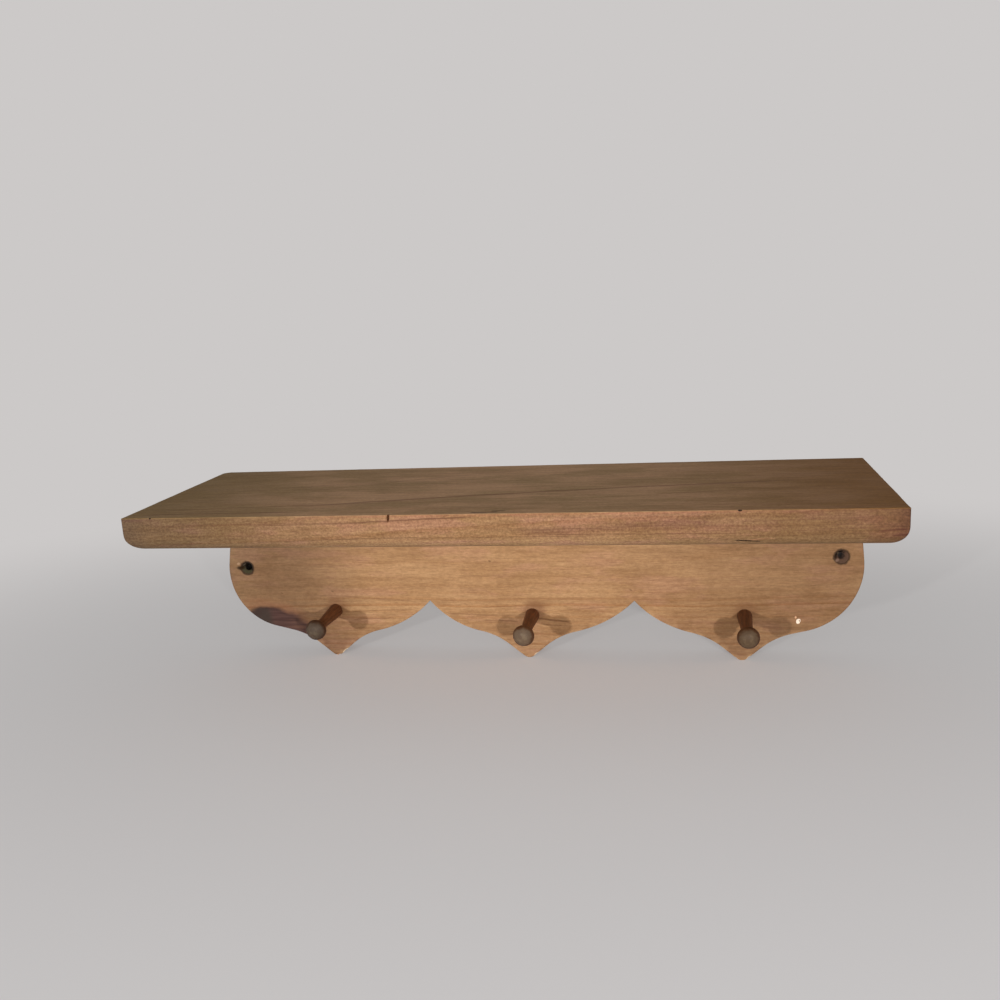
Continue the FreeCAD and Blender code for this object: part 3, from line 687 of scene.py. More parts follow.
def peg_profile():
    """Half of a peg's section as (distance out of the board, radius), from its tenon to its dome."""
    reach = BOARD_LOW[1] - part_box(PEG_NAMES[0])[0][1]
    rim_back, rim_front = reach - HEAD_LENGTH, reach - DOME_RISE
    shaft_end = rim_back - FLARE_LENGTH
    half_rim = (rim_front - rim_back) / 2
    rim_centre = (rim_back + half_rim, HEAD_RADIUS - RIM_ROUND)
    lean = math.degrees(math.asin(half_rim / RIM_ROUND))
    rim = arc(rim_centre, RIM_ROUND, 90 + lean, 90 - lean, RIM_STEP)
    edge = rim[0][1]
    parts = [[(-TENON_LENGTH, 0), (-TENON_LENGTH, TENON_RADIUS - TENON_EASE)]]
    inner, outer = (TENON_EASE - TENON_LENGTH, TENON_RADIUS), (-ROOT_EASE / 2, TENON_RADIUS)
    parts.append(straight(inner, outer, TENON_STEP))
    parts.append(straight((0, TENON_RADIUS), (0, ROOT_RADIUS - ROOT_EASE), FOOT_STEP))
    parts.append(straight((ROOT_EASE, ROOT_RADIUS), (shaft_end, NECK_RADIUS), SHAFT_STEP))
    flare = NECK_RADIUS + (edge - NECK_RADIUS) * FLARE_SHARES ** FLARE_POWER
    parts.append(columns(shaft_end + FLARE_LENGTH * FLARE_SHARES, flare))
    parts.append(rim)
    dome_radius = (edge ** 2 + DOME_RISE ** 2) / (2 * DOME_RISE)
    low = math.degrees(math.asin(edge / dome_radius))
    parts.append(arc((reach - dome_radius, 0), dome_radius, low, 0, DOME_STEP)[1:])
    return [tuple(p) for p in np.vstack(parts)]


def make_peg(name, seed):
    """One turned peg, a little out of round, with its tenon."""
    profile = [(BOARD_LOW[1] - out, radius) for out, radius in peg_profile()]
    middle = box_middle(name)
    peg = lathe(name + "_turned", profile, middle, PEG_WOBBLE, seed)
    outward(peg)
    points = corners_of(peg) - middle
    mark(peg, "from_axis", np.hypot(points[:, 0], points[:, 2]) / MM)
    smooth(peg)
    return peg


def paint(red, green, blue):
    """A colour as it looks on a screen, from 0 to 255, as the shader's own values."""
    shares = [value / 255 for value in (red, green, blue)]
    return tuple(s / 12.92 if s <= 0.04045 else ((s + 0.055) / 1.055) ** 2.4 for s in shares) + (1,)


class Finish:
    """A node material that grows by short calls. Its places are in millimetres."""

    def __init__(self, name, **values):
        self.material = bpy.data.materials.new(name)
        self.material.use_nodes = True
        self.tree = self.material.node_tree
        self.shader = self.tree.nodes["Principled BSDF"]
        for socket, value in values.items():
            self.shader.inputs[socket.replace("_", " ")].default_value = value
        place = self.tree.nodes.new("ShaderNodeTexCoord").outputs["Object"]
        self.place = self.vector("MULTIPLY", place, (1 / MM,) * 3)
        self.x, self.y, self.z = self.node("SeparateXYZ", {"Vector": self.place}).outputs

    def node(self, kind, inputs, **settings):
        made = self.tree.nodes.new("ShaderNode" + kind)
        for key, value in settings.items():
            setattr(made, key, value)
        for key, value in inputs.items():
            self.feed(made.inputs[key], value)
        return made

    def feed(self, socket, value):
        if isinstance(value, bpy.types.NodeSocket):
            self.tree.links.new(value, socket)
        else:
            socket.default_value = value

    def vector(self, operation, place, by):
        return self.node("VectorMath", {0: place, 1: by}, operation=operation).outputs[0]

    def sum(self, operation, first, second=0.0, third=0.0):
        return self.node("Math", {0: first, 1: second, 2: third}, operation=operation).outputs[0]

    def plus(self, first, second):
        return self.sum("ADD", first, second)

    def less(self, first, second):
        return self.sum("SUBTRACT", first, second)

    def times(self, *values):
        result = values[0]
        for value in values[1:]:
            result = self.sum("MULTIPLY", result, value)
        return result

    def noise(self, periods, seed=0.0, detail=2.0, rough=0.5):
        """Smooth noise about 0.5, with a period in millimetres along each axis."""
        spread = self.vector("MULTIPLY", self.place, tuple(1 / p for p in periods))
        moved = self.vector("ADD", spread, (seed, 1.7 * seed, -2.3 * seed))
        values = {"Vector": moved, "Scale": 1.0, "Detail": detail, "Roughness": rough}
        return self.node("TexNoise", values).outputs["Fac"]

    def wobble(self, periods, seed, size, detail=2.0):
        """Noise about 0 that reaches roughly half of size each way."""
        return self.times(self.less(self.noise(periods, seed, detail), 0.5), size)

    def fit(self, value, low, high, to_low=0.0, to_high=1.0):
        """Eases a value from one range into another, and stops at its ends."""
        values = {"Value": value, "From Min": low, "From Max": high, "To Min": to_low, "To Max": to_high}
        return self.node("MapRange", values, interpolation_type="SMOOTHSTEP").outputs[0]

    def mix(self, amount, first, second, blend="MIX"):
        made = self.node("Mix", {0: amount, 6: first, 7: second}, data_type="RGBA", blend_type=blend)
        return made.outputs[2]

    def cover(self, by, *amounts):
        """Paints another colour over the colour so far, by the product of amounts from 0 to 1."""
        self.colour = self.mix(self.times(*amounts), self.colour, by)

    def tint(self, by, *amounts):
        """Multiplies the colour so far by a tint, by the product of amounts from 0 to 1."""
        self.colour = self.mix(self.times(*amounts), self.colour, (*by, 1), "MULTIPLY")

    def shade(self, value, low, high, dark, light):
        """Multiplies the colour so far by a tint that goes from dark to light as a value rises."""
        tint = self.mix(self.fit(value, low, high), (*dark, 1), (*light, 1))
        self.colour = self.mix(1.0, self.colour, tint, "MULTIPLY")

    def facing(self, axis):
        """How far a face is turned towards an axis, either way, from 0 to 1."""
        normal = self.node("NewGeometry", {}).outputs["True Normal"]
        part = self.node("SeparateXYZ", {"Vector": normal}).outputs[axis]
        return self.sum("ABSOLUTE", part)

    def spot(self, up, middle, radii, turn=0.0):
        """Distance from a place on a face with the axes X and up, 1 at the rim of a turned ellipse."""
        cos, sin = math.cos(math.radians(turn)), math.sin(math.radians(turn))
        dx, dz = self.less(self.x, middle[0]), self.less(up, middle[1])
        along = self.plus(self.times(dx, cos / radii[0]), self.times(dz, sin / radii[0]))
        aside = self.less(self.times(dz, cos / radii[1]), self.times(dx, sin / radii[1]))
        squares = self.plus(self.times(along, along), self.times(aside, aside))
        return self.sum("SQRT", squares)

    def torn(self, chip, soft=0.14):
        """1 on the broken wood of a chip, and 0 outside its ragged rim."""
        middle, reach, turn = chip
        values = {"Location": middle, "Rotation": (0, math.radians(turn), 0), "Scale": reach}
        moved = self.node("Mapping", {"Vector": self.place, **values}, vector_type="TEXTURE").outputs[0]
        away = self.node("VectorMath", {0: moved}, operation="LENGTH").outputs["Value"]
        away = self.plus(away, self.wobble((0.9, 0.9, 0.9), 63.0, 0.5))
        return self.fit(away, 0.96, 0.96 + soft, 1.0, 0.0)

    def streak(self, up, start, end, width, bow=0.0, wobble=0.0):
        """A soft line on a face from start to end, 1 in its middle, that can bow upwards."""
        share = self.times(self.less(self.x, start[0]), 1 / (end[0] - start[0]))
        line = self.sum("MULTIPLY_ADD", share, end[1] - start[1], start[1])
        lift = self.times(self.less(1.0, share), share, 4 * bow)
        gap = self.plus(self.less(up, self.plus(line, lift)), wobble)
        middle = self.fit(self.sum("ABSOLUTE", gap), 0.0, width, 1.0, 0.0)
        ends = self.times(self.fit(share, -0.02, 0.12), self.fit(share, 0.88, 1.02, 1.0, 0.0))
        return self.times(middle, ends)

    def band(self, value, low, high, soft):
        """1 between two values, with soft ends."""
        rise = self.fit(value, low - soft, low + soft)
        return self.times(rise, self.fit(value, high - soft, high + soft, 1.0, 0.0))

    def finish(self, roughness, height, depth):
        """The material with its colour so far, a roughness, and relief as deep as depth."""
        self.feed(self.shader.inputs["Base Color"], self.colour)
        self.feed(self.shader.inputs["Roughness"], roughness)
        bump = self.node("Bump", {"Height": height, "Distance": depth, "Strength": 1.0})
        self.feed(self.shader.inputs["Normal"], bump.outputs[0])
        return self.material


class Pine(Finish):
    """Aged pine, grained along X."""

    def __init__(self, name, seed, tones):
        super().__init__(name, Specular_IOR_Level=0.2)
        self.seed = seed
        golden, tan, pink = tones
        self.mottle = self.noise((54, 19, 17), seed, 3.0, 0.6)
        blush = self.noise((34, 12, 9), seed + 1, 3.0, 0.6)
        self.colour = self.mix(self.fit(self.mottle, 0.36, 0.64), golden, tan)
        self.cover(pink, self.fit(blush, 0.48, 0.66, 0.0, 0.8))

    def rings(self, pith, rise, spacing, warp):
        """Dark late wood at the end of each year's growth, stronger in some years than in others."""
        bend = self.wobble((190, 42, 42), self.seed + 2, warp)
        ripple = self.wobble((22, 4, 4), self.seed + 3, 0.8)
        across = self.less(self.y, pith[0])
        up = self.less(self.less(self.z, pith[1]), self.times(self.x, rise))
        squares = self.plus(self.times(across, across), self.times(up, up))
        away = self.plus(self.sum("SQRT", squares), self.plus(bend, ripple))
        field = self.times(away, 1 / spacing)
        part = self.sum("FRACT", field)
        line = self.times(self.fit(part, 0.35, 0.9), self.fit(part, 0.93, 1.0, 1.0, 0.0))
        year = self.plus(self.sum("FLOOR", field), self.seed)
        chance = self.node("TexWhiteNoise", {"W": year}, noise_dimensions="1D").outputs["Value"]
        return self.times(line, self.sum("MULTIPLY_ADD", self.sum("POWER", chance, 1.6), 0.75, 0.25))

    def fibres(self, strength):
        """Fine fibres along the grain, with coarser streaks, paler flecks and short dark pores."""
        self.fine = self.noise((7.0, 0.5, 0.45), self.seed + 4, 3.0, 0.62)
        coarse = self.noise((30, 2.1, 1.8), self.seed + 5, 3.0, 0.7)
        fleck = self.noise((2.2, 1.2, 1.1), self.seed + 6, 3.0, 0.65)
        pore = self.noise((5.5, 0.9, 0.8), self.seed + 7, 1.0)
        dark = tuple(1 - strength * s for s in (0.30, 0.36, 0.42))
        light = tuple(1 + strength * s for s in (0.24, 0.26, 0.26))
        self.shade(self.fine, 0.34, 0.64, dark, light)
        self.shade(coarse, 0.36, 0.62, dark, light)
        self.shade(fleck, 0.36, 0.64, dark, light)
        self.pores = self.fit(pore, 0.68, 0.78)
        self.tint((0.70, 0.60, 0.50), self.pores, 0.4)

    def end_grain(self):
        """Darker, dotted end grain where the wood is cut across, with saw marks."""
        ends = self.fit(self.facing("X"), 0.45, 0.95)
        dots = self.noise((60, 0.55, 0.55), self.seed + 8, 3.0, 0.7)
        self.tint((0.80, 0.74, 0.68), ends, 0.8)
        self.tint((0.62, 0.52, 0.44), ends, self.fit(dots, 0.5, 0.66), 0.5)

    def lines(self, up, streaks, wobble, where, dark):
        """Single dark lines: start, end, width, how dark, and how far each bows upwards."""
        for start, end, width, amount, bow in streaks:
            self.cover(dark, self.streak(up, start, end, width, bow, wobble), where, amount)

    def chips(self, chips, chip_tones):
        """A colour in every chip, paler or darker than the skin round it; in the shelf's crack the dark
        colour is painted shade.
        """
        for name, chip in chips.items():
            tone, amount = chip_tones[name]
            self.cover(tone, self.torn(chip), amount)

    def done(self, extra, rough):
        """Roughness, from dull to waxed, and relief for the whole board."""
        relief = self.plus(self.times(self.fine, 0.6), extra)
        relief = self.less(relief, self.times(self.pores, 0.5))
        return self.finish(self.fit(self.mottle, 0.3, 0.7, *rough), relief, 0.1 * MM)


BOARD_STREAKS = (
    ((-62, -25.2), (42, -23.4), 0.8, 0.16, 0.4),
    ((-30, -29.3), (-4, -29.0), 0.7, 0.30, 0.0),
    ((-54, -33.6), (-5, -34.6), 0.7, 0.42, -0.4),
    ((-30, -37.9), (-6, -38.5), 0.7, 0.50, 0.0),
    # This line beside the middle peg is a growth line made wider and darker as painted shade
    ((4, -36.7), (27, -39.2), 1.1, 0.72, 0.3),
    ((9, -40.6), (22, -41.4), 0.6, 0.45, 0.0),
    ((20, -31.5), (62, -28.5), 0.8, 0.25, 0.5),
    ((-118, -33.0), (-72, -31.0), 0.9, 0.30, 0.4),
    ((-116, -38.5), (-88, -37.0), 0.8, 0.34, 0.4),
    ((-150, -21.0), (-70, -26.0), 0.9, 0.20, 0.5),
    ((70, -27.0), (122, -24.5), 0.9, 0.20, 0.6),
    ((140, -27.0), (186, -24.0), 0.9, 0.25, 0.6),
    ((146, -34.0), (180, -31.0), 0.9, 0.25, 0.5),
)
BOARD_DOTS = ((-22.4, 1.1), (65.4, -17.9), (-163.8, -20.3), (-128.5, -19.0))


def board_material():
    """Aged orange-tan pine, finely streaked along the board, with a knot at its lower left."""
    tones = (paint(172, 131, 90), paint(184, 143, 101), paint(184, 139, 104))
    pine = Pine("board_pine_aged", 3.0, tones)
    lines = pine.rings((62, 34), 0.012, 2.5, 4.5)
    shown = pine.fit(pine.z, 6, -30, 0.12, 0.75)
    pine.tint((0.78, 0.63, 0.48), lines, shown)
    pine.fibres(0.3)
    # Painted light falloff: the board darker towards both ends, under a soft painted shadow on its left part.
    # Lighter again at the far left end, and darker towards the bottom
    drift = pine.wobble((60, 30, 30), 15.0, 30.0)
    across = pine.plus(pine.x, drift)
    pine.tint((0.52, 0.50, 0.50), pine.fit(across, -92, -158))
    pine.tint((1.12, 1.16, 1.18), pine.fit(pine.x, -172, -192))
    pine.tint((0.61, 0.58, 0.56), pine.fit(across, 6, 190))
    pine.tint((0.84, 0.83, 0.88), pine.fit(pine.z, -30, -60))
    pine.end_grain()
    sawn = pine.times(pine.fit(pine.facing("Y"), 0.6, 0.2), pine.fit(pine.z, 38, 36))
    marks = pine.noise((0.9, 60, 0.9), 9.0, 2.0, 0.6)
    pine.tint((0.7, 0.6, 0.5), sawn, pine.fit(marks, 0.4, 0.66), 0.4)
    board_marks(pine)
    dark = knot(pine)
    arris_wear_and_shade = pine.node("Attribute", {}, attribute_name="edge_wear_and_shade").outputs["Fac"]
    patchy = pine.fit(pine.noise((7, 5, 5), 13.0), 0.42, 0.6)
    # The worn arris is pale, with painted shade on it at the far left end and a browner tone at the right end
    worn = pine.mix(pine.fit(pine.x, -185, -193), paint(208, 168, 124), paint(92, 76, 58))
    worn = pine.mix(pine.fit(pine.x, 150, 185), worn, paint(150, 106, 70))
    bare = pine.less(1.0, dark)
    pine.cover(worn, arris_wear_and_shade, patchy, bare, 0.5)
    pale, orange = (paint(236, 214, 184), 0.85), (paint(204, 150, 104), 0.8)
    chip_tones = {name: pale for name in BOARD_CHIPS} | {"tip_left": orange, "tip_right": orange}
    chip_tones |= {"bruise_large": (paint(255, 236, 214), 1.0), "bruise_small": (paint(222, 176, 138), 0.9)}
    pine.chips(BOARD_CHIPS, chip_tones)
    relief = pine.plus(pine.times(lines, 0.5), pine.times(sawn, marks, 1.5))
    return pine.done(relief, (0.62, 0.5))


def knot(pine):
    """A dark knot cut through by the lower edge, with an orange halo above it."""
    wobble = pine.wobble((13, 13, 6), 21.0, 0.5, 4.0)
    away = pine.plus(pine.spot(pine.z, (-168.0, -42.1), (22.8, 11.4), -21), wobble)
    halo = pine.fit(away, 0.95, 1.6, 1.0, 0.0)
    pine.cover(paint(140, 88, 60), halo, 0.42)
    bands = pine.fit(pine.noise((30, 2.6, 2.2), 23.0, 2.0), 0.35, 0.7)
    dark = pine.mix(bands, paint(70, 44, 38), paint(90, 62, 54))
    grey = pine.fit(pine.plus(pine.x, pine.wobble((9, 9, 6), 24.0, 9.0)), -169, -176)
    dark = pine.mix(grey, dark, paint(62, 48, 40))
    tail = pine.fit(pine.x, -166, -150)
    streaks = pine.fit(pine.noise((26, 1.6, 1.3), 25.0, 3.0, 0.6), 0.4, 0.62)
    dark = pine.mix(pine.times(tail, streaks, 0.55), dark, paint(124, 86, 66))
    rim = pine.times(pine.fit(away, 0.62, 0.84), pine.fit(away, 0.86, 1.02, 1.0, 0.0))
    dark = pine.mix(pine.times(rim, 0.45), dark, paint(56, 32, 27))
    soft = pine.sum("MULTIPLY_ADD", tail, 0.25, 1.06)
    inner = pine.fit(away, 0.8, soft, 1.0, 0.0)
    pine.cover(dark, inner)
    return inner


# In each screw hole: which way the painted lit side of its countersink lies, that side's colour, where it
# starts, how wide the dark rim is, the bore's colour, and spots on it (place from its middle, radii, turn,
# colour, amount). The near black bore of the left hole and the dark spots are painted shade
HOLE_TONES = (
    ((-0.35, -0.90), paint(80, 72, 50), -0.6, 4.9, paint(26, 19, 13), (
        ((-4.9, 0.0), (2.9, 1.5), 0, paint(56, 37, 16), 0.95),
        ((1.6, 2.2), (2.6, 1.9), -20, paint(20, 14, 9), 0.85),
        ((-2.2, 2.2), (1.5, 0.45), 40, paint(112, 98, 80), 0.55),
        ((-5.9, 3.0), (1.3, 0.9), 20, paint(180, 144, 112), 0.75),
    )),
    ((0.60, -0.80), paint(104, 78, 62), -2.6, 4.9, paint(112, 86, 70), (
        ((-0.6, 1.7), (0.9, 2.2), 0, paint(22, 14, 7), 0.95),
        ((-3.2, 0.4), (0.8, 2.0), 10, paint(48, 32, 18), 0.8),
        ((-2.2, -2.3), (1.4, 0.9), 10, paint(150, 120, 102), 0.75),
        ((-1.9, 1.9), (0.5, 1.0), 0, paint(128, 110, 82), 0.7),
    )),
)


def board_marks(pine):
    """Dark streaks and dots, dark rims round the screw holes with painted light and shade in them, and
    painted shade round the pegs.
    """
    wobble = pine.wobble((14, 6, 6), 31.0, 1.4)
    pine.lines(pine.z, BOARD_STREAKS, wobble, 1.0, paint(104, 64, 38))
    face = pine.fit(pine.y, -17.5, -18.6)
    for middle in BOARD_DOTS:
        away = pine.spot(pine.z, middle, (1.3, 0.7), -25)
        pine.cover(paint(96, 66, 40), pine.fit(away, 0.3, 1.1, 0.6, 0.0), face)
    # Painted shade round each peg's root, and above the middle peg
    for name in PEG_NAMES:
        x, _, z = box_middle(name) / MM
        away = pine.spot(pine.z, (x + 1.0, z + 3.0), (9.5, 8.0))
        pine.cover(paint(122, 80, 50), pine.fit(away, 0.5, 1.0, 0.45, 0.0), face)
    away = pine.spot(pine.z, (7.0, -27.3), (9.5, 2.8), -4)
    pine.cover(paint(128, 84, 52), pine.fit(away, 0.4, 1.2, 0.42, 0.0), face)
    rough = pine.noise((2.2, 2.2, 2.2), 33.0, 3.0, 0.6)
    for place, tones in zip(screw_places(), HOLE_TONES):
        screw_marks(pine, place / MM, rough, *tones)


def screw_marks(pine, middle, rough, side, tone, low, rim, bore, spots):
    """The dark rim, the torn countersink with its painted light and shade, and the bore of one screw hole,
    with the spots on it.
    """
    x, _, z = middle
    away = pine.plus(pine.spot(pine.z, (x, z), (1.0, 1.0)), pine.wobble((2.4, 2.4, 2.4), 35.0, 1.8))
    front = pine.fit(pine.y, -0.3, -0.9)
    dark_rim = pine.times(pine.fit(away, rim - 0.5, rim + 0.6, 0.9, 0.0), front)
    pine.cover(paint(58, 37, 20), dark_rim)
    # Painted light and shade in the countersink: the given colour on the side given, dark on the other side
    right = pine.times(pine.less(pine.x, x), side[0])
    up = pine.times(pine.less(pine.z, z), side[1])
    lit = pine.plus(pine.plus(right, up), pine.times(pine.less(rough, 0.5), 6.0))
    cone = pine.mix(pine.fit(lit, low, low + 3.0), paint(30, 22, 15), tone)
    inside = pine.times(pine.band(pine.y, -18.84, -0.6, 0.14), pine.fit(away, 8.0, 8.6, 1.0, 0.0))
    pine.cover(cone, inside)
    # The bore's colour; near black on the left hole, as painted shade
    deep = pine.times(pine.band(pine.y, -16.8, -0.6, 0.3), pine.fit(away, 5.0, 5.4, 1.0, 0.0))
    pine.cover(bore, deep)
    # Spots; the dark ones are painted shade where the bore and the split lie deep
    for offset, radii, turn, colour, amount in spots:
        near = pine.spot(pine.z, (x + offset[0], z + offset[1]), radii, turn)
        pine.cover(colour, pine.fit(near, 0.5, 1.15, amount, 0.0), front)


FRONT_STREAKS = (
    ((-190, 53.4), (-62, 54.4), 0.6, 0.35, 0.3),
    ((-128, 53.4), (-58, 54.3), 0.7, 0.45, 0.0),
    ((-72, 54.1), (-6, 56.7), 0.7, 0.72, 0.3),
    ((-118, 44.3), (-30, 45.9), 0.55, 0.50, 0.3),
    ((-38, 45.6), (64, 45.9), 0.55, 0.42, 0.2),
    ((10, 49.4), (66, 49.6), 0.6, 0.40, 0.4),
    ((52, 50.6), (128, 50.4), 0.6, 0.40, 0.3),
    ((28, 47.0), (124, 46.4), 0.5, 0.60, 0.2),
    ((114, 43.6), (120, 43.2), 0.4, 0.50, 0.0),
    ((168, 50.4), (182, 50.9), 0.5, 0.50, 0.0),
    ((189, 47.3), (202, 48.0), 0.8, 0.90, 0.0),
    ((195, 44.6), (204, 45.2), 0.9, 0.90, 0.0),
    ((120, 52.6), (200, 54.8), 0.7, 0.30, -0.3),
    ((150, 47.6), (202, 49.4), 0.8, 0.30, 0.2),
)
TOP_STREAKS = (
    ((-110, -106), (168, -60), 2.6, 0.56, 6.0),
    ((-192, -112), (-60, -99), 1.4, 0.42, 1.0),
    ((-198, -121.0), (-104, -118.6), 1.3, 0.60, 0.3),
    ((-190, -116.2), (-128, -114.4), 1.1, 0.40, 0.3),
    ((-60, -118), (60, -112), 0.9, 0.20, 1.0),
    ((-120, -66), (10, -12), 1.6, 0.22, 3.0),
    ((-180, -70), (-60, -40), 1.6, 0.18, 3.0),
    ((40, -98), (196, -74), 1.2, 0.24, 2.0),
    ((70, -30), (190, -26), 1.4, 0.18, 2.0),
    ((60, -46.5), (78, -45), 0.6, 0.50, 0.0),
)
DENT_STREAKS = (
    ((-9.0, -125.4), (6.0, -124.6), 1.6, 0.85, 0.0),
    ((1.5, -122.6), (9.5, -121.2), 1.2, 0.7, 0.0),
)


def shelf_material():
    """Pinkish tan pine on the front edge, under a dark olive-brown top."""
    tones = (paint(146, 111, 76), paint(155, 118, 84), paint(159, 116, 90))
    pine = Pine("shelf_pine_aged", 14.0, tones)
    upper = pine.fit(pine.z, 57.7, 58.25)
    front = pine.times(pine.fit(pine.facing("Y"), 0.15, 0.6), pine.less(1.0, upper))
    # Painted light falloff: the front darker towards both ends
    pine.tint((0.50, 0.53, 0.54), pine.fit(pine.x, -50, -196))
    pine.tint((0.61, 0.59, 0.56), pine.fit(pine.x, 30, 188))
    top = pine.mix(pine.fit(pine.mottle, 0.36, 0.64), paint(159, 128, 92), paint(183, 144, 108))
    # Painted light falloff on the top as well: darker towards both ends, and redder at the right end
    top = pine.mix(pine.fit(pine.x, 45, 228), top, paint(125, 86, 41))
    top = pine.mix(pine.fit(pine.x, -75, -220), top, paint(132, 106, 67))
    pine.cover(top, upper)
    lines = pine.rings((-52, -64), 0.05, 4.6, 8.0)
    shown = pine.fit(upper, 0.0, 1.0, 0.5, 0.22)
    pine.tint((0.74, 0.60, 0.50), lines, shown)
    pine.fibres(0.3)
    pine.end_grain()
    speckle = pine.less(pine.noise((1.3, 1.0, 1.1), 17.0, 3.0, 0.7), 0.5)
    speckle = pine.sum("MULTIPLY_ADD", speckle, front, 0.5)
    pine.shade(speckle, 0.36, 0.64, (0.83, 0.79, 0.78), (1.17, 1.19, 1.16))
    shelf_marks(pine, front, upper)
    # The crack's dark colour is painted shade in it
    chip_tones = {name: (paint(44, 28, 20), 0.95) for name in SHELF_CHIPS}
    chip_tones |= {"nick": (paint(100, 60, 34), 0.95), "split": (paint(176, 132, 96), 0.6)}
    pine.chips(SHELF_CHIPS, chip_tones)
    return pine.done(pine.times(lines, 0.5), (0.82, 0.7))


def shelf_marks(pine, front, upper):
    """Growth lines, the dark band and the marks that the shelf shows on its front and top, with painted light
    low on the front and partly painted shade at its ends.
    """
    wobble = pine.wobble((26, 10, 10), 41.0, 1.2)
    pine.tint((1.09, 0.97, 1.0), pine.band(pine.x, -70, 160, 40), pine.fit(pine.z, 56.6, 57.6), front)
    around = pine.times(pine.streak(pine.z, (14, 48.2), (118, 53.0), 4.4), front)
    pine.tint((0.78, 0.72, 0.78), around, 0.9)
    dots = pine.noise((0.9, 0.9, 2.4), 43.0, 2.0, 0.6)
    pine.tint((0.72, 0.64, 0.66), around, pine.fit(dots, 0.5, 0.66), 0.5)
    pine.lines(pine.z, FRONT_STREAKS, wobble, front, paint(98, 62, 44))
    # Painted light: the lower part of the front and the top of its round-over lighter
    pine.tint((1.10, 1.17, 1.22), pine.fit(pine.z, 47.5, 42.0), pine.fit(pine.facing("Y"), 0.1, 0.3))
    # Darker again at the very ends of the front: partly a stain, partly painted shade
    pine.tint((0.88, 0.82, 0.80), pine.fit(pine.x, 182, 190), front)
    pine.tint((0.74, 0.66, 0.72), pine.fit(pine.x, 192, 203), front)
    pine.tint((0.80, 0.82, 0.90), pine.fit(pine.x, -186, -202), front)
    drift = pine.times(wobble, 2.0)
    pine.lines(pine.y, TOP_STREAKS, drift, upper, paint(102, 64, 42))
    pine.lines(pine.y, DENT_STREAKS, wobble, upper, paint(52, 34, 23))


# Where the shaft's stain turns into the head's, along Y in millimetres
HEAD_RANGE = (-53.6, -57.0)


def peg_material():
    """Turned hardwood with a dark red-brown stain, worn greyer on the dome, with a painted highlight in its
    middle; the outer pegs darker as painted light falloff.
    """
    wood = Finish("peg_stain", Specular_IOR_Level=0.18)
    along = wood.noise((0.9, 12.0, 0.9), 51.0, 3.0, 0.6)
    out = wood.node("Attribute", {}, attribute_name="from_axis").outputs["Fac"]
    patch = wood.noise((3.2, 3.2, 3.2), 55.0, 3.0, 0.6)
    rub_and_highlight_reach = wood.plus(out, wood.wobble((4, 4, 4), 56.0, 3.0))
    wood.colour = wood.mix(wood.fit(rub_and_highlight_reach, 6.2, 4.6), paint(86, 54, 32), paint(108, 88, 70))
    wood.shade(patch, 0.36, 0.64, (0.90, 0.88, 0.86), (1.08, 1.10, 1.10))
    # A painted highlight in the middle of the dome
    wood.cover(paint(140, 122, 94), wood.fit(rub_and_highlight_reach, 4.0, 1.6), wood.fit(patch, 0.4, 0.62), 0.3)
    # Painted light falloff: the left and right pegs darker towards the shelf's ends
    wood.tint((0.60, 0.62, 0.66), wood.fit(wood.x, -30, -120))
    wood.tint((0.74, 0.70, 0.62), wood.fit(wood.x, 30, 125))
    head = wood.colour
    wood.colour = wood.mix(wood.fit(along, 0.35, 0.65), paint(90, 54, 31), paint(122, 77, 47))
    # Painted light falloff on the right peg's shaft
    wood.tint((0.82, 0.80, 0.80), wood.fit(wood.x, 30, 125))
    wood.cover(head, wood.fit(wood.y, *HEAD_RANGE))
    turned = wood.noise((40, 0.5, 40), 57.0, 2.0)
    wood.tint((0.7, 0.66, 0.62), wood.fit(turned, 0.5, 0.7, 0.0, 0.3))
    relief = wood.plus(along, wood.times(turned, 0.6))
    return wood.finish(wood.fit(along, 0.3, 0.7, 0.5, 0.62), relief, 0.07 * MM)


def dowel_material():
    """Plain unfinished beech, grained along the dowels."""
    wood = Finish("dowel_beech", Specular_IOR_Level=0.3)
    grain = wood.noise((0.7, 0.7, 9.0), 61.0, 3.0, 0.6)
    wood.colour = wood.mix(wood.fit(grain, 0.35, 0.65), paint(188, 156, 118), paint(212, 182, 144))
    return wood.finish(wood.fit(grain, 0.3, 0.7, 0.6, 0.75), grain, 0.1 * MM)


def seen_rays(tree):
    """1 for the rays in which the background is seen: straight, mirrored or through glass."""
    path = tree.nodes.new("ShaderNodeLightPath")
    seen = path.outputs["Is Camera Ray"]
    for name in ("Is Glossy Ray", "Is Transmission Ray"):
        either = tree.nodes.new("ShaderNodeMath")
        either.operation = "MAXIMUM"
        tree.links.new(seen, either.inputs[0])
        tree.links.new(path.outputs[name], either.inputs[1])
        seen = either.outputs[0]
    return seen


BACKGROUND = paint(204, 201, 200)
FLOOR_TONES = (paint(236, 233, 234), paint(241, 239, 239))
FLOOR_FADE = (170, 560)
FLOOR_GLOW = 0.40
FLOOR_RADIUS = 6.0


def floor_material():
    """Plain pale floor with the object's shadow, which turns into the background far out."""
    pale = Finish("floor_pale", Specular_IOR_Level=0.1, Roughness=0.9)
    soft = pale.noise((420, 420, 420), 71.0, 2.0)
    pale.feed(pale.shader.inputs["Base Color"], pale.mix(soft, *FLOOR_TONES))
    away = pale.spot(pale.y, (0, -60), (1.4, 1.0))
    share = pale.times(pale.fit(away, *FLOOR_FADE, FLOOR_GLOW, 1.0), seen_rays(pale.tree))
    glow = pale.node("Emission", {"Color": BACKGROUND, "Strength": 1.0})
    both = pale.node("MixShader", {0: share, 1: pale.shader.outputs[0], 2: glow.outputs[0]})
    pale.feed(pale.tree.nodes["Material Output"].inputs["Surface"], both.outputs[0])
    return pale.material


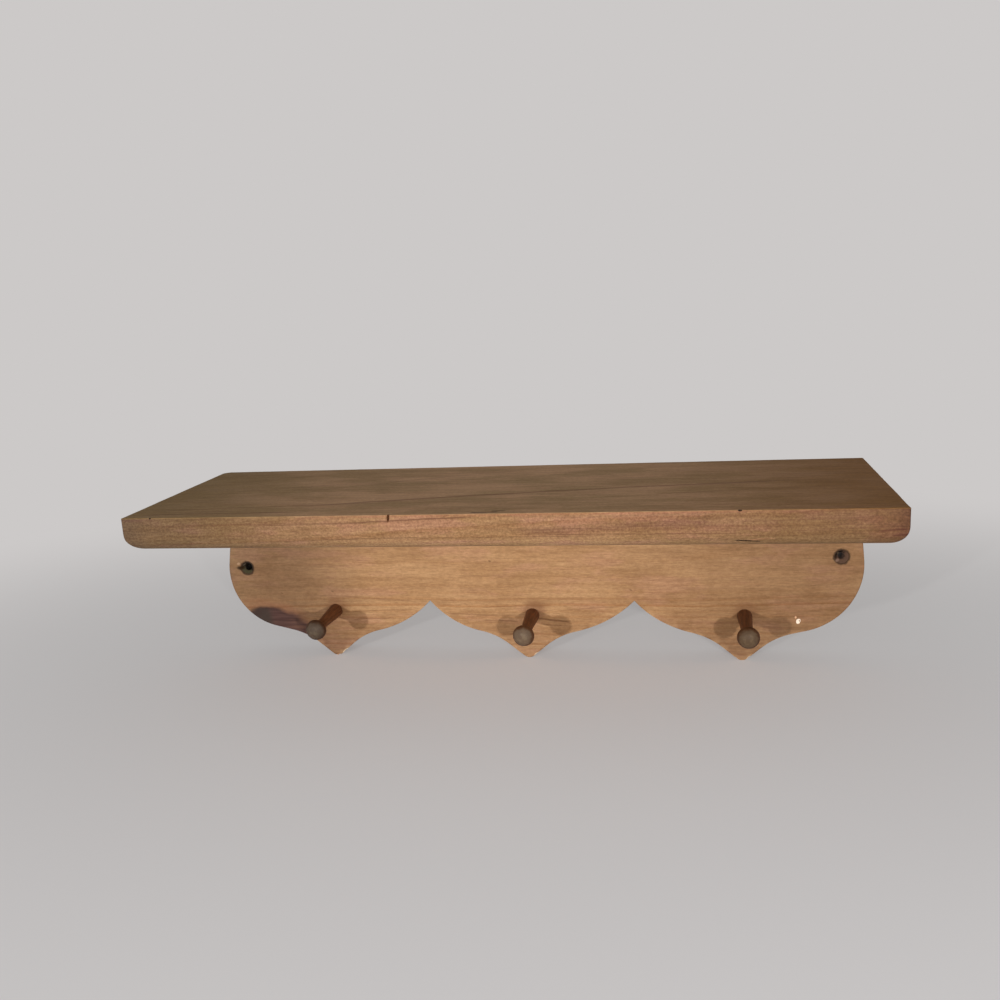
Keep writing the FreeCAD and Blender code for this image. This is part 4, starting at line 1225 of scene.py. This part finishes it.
def add_floor():
    """The floor at the height of the board's lowest points."""
    points = [(FLOOR_RADIUS * math.cos(t), FLOOR_RADIUS * math.sin(t), BOARD_LOW[2]) for t in even_turns(72)]
    floor = add_piece("floor", points, [tuple(range(len(points)))])
    floor.data.materials.append(floor_material())


def add_camera():
    """The photograph's camera."""
    data = bpy.data.cameras.new("camera")
    data.lens = CAMERA_LENS
    data.sensor_width = CAMERA_SENSOR
    camera = new_object("camera", data)
    level = (CAMERA_AIM - CAMERA_PLACE).to_track_quat("-Z", "Y")
    camera.rotation_mode = "QUATERNION"
    camera.rotation_quaternion = level @ Quaternion((0, 0, 1), math.radians(CAMERA_ROLL))
    camera.location = CAMERA_PLACE
    bpy.context.scene.camera = camera


def add_lamp(name, place, size, share):
    """A soft round lamp that faces the object. Share is how bright it makes a face turned to it."""
    data = bpy.data.lights.new(name, "AREA")
    data.shape = "DISK"
    data.size = size
    way = LAMP_AIM - Vector(place)
    data.energy = share * (math.pi * way.length) ** 2
    lamp = new_object(name, data)
    lamp.location = place
    lamp.rotation_mode = "QUATERNION"
    lamp.rotation_quaternion = way.to_track_quat("-Z", "Y")


def add_world():
    """Even soft light all round, and a plain pale background where it is seen."""
    world = bpy.data.worlds.new("studio")
    world.use_nodes = True
    bpy.context.scene.world = world
    tree = world.node_tree
    light = tree.nodes["Background"]
    light.inputs["Color"].default_value = WORLD_TONE
    light.inputs["Strength"].default_value = WORLD_STRENGTH
    seen = tree.nodes.new("ShaderNodeBackground")
    seen.inputs["Color"].default_value = BACKGROUND
    pick = tree.nodes.new("ShaderNodeMixShader")
    tree.links.new(seen_rays(tree), pick.inputs[0])
    tree.links.new(light.outputs[0], pick.inputs[1])
    tree.links.new(seen.outputs[0], pick.inputs[2])
    tree.links.new(pick.outputs[0], tree.nodes["World Output"].inputs["Surface"])


def dress(piece, material, node):
    """Gives a piece its material and puts it in the place of its CAD node."""
    piece.data.materials.clear()
    piece.data.materials.append(material)
    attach(piece, "root")
    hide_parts(node)


dress(make_shelf(), shelf_material(), "shelf_board")
dress(make_board(), board_material(), "back_board")
peg_stain = peg_material()
for number, peg_name in enumerate(PEG_NAMES):
    dress(make_peg(peg_name, 7.0 + number), peg_stain, peg_name)
dowels = frame["nodes"]["shelf_dowels"]
dowels.data.materials.clear()
dowels.data.materials.append(dowel_material())

add_floor()
add_camera()
for lamp_name, lamp_values in LAMPS.items():
    add_lamp(lamp_name, *lamp_values)
add_world()
bpy.context.scene.view_settings.view_transform = "Standard"
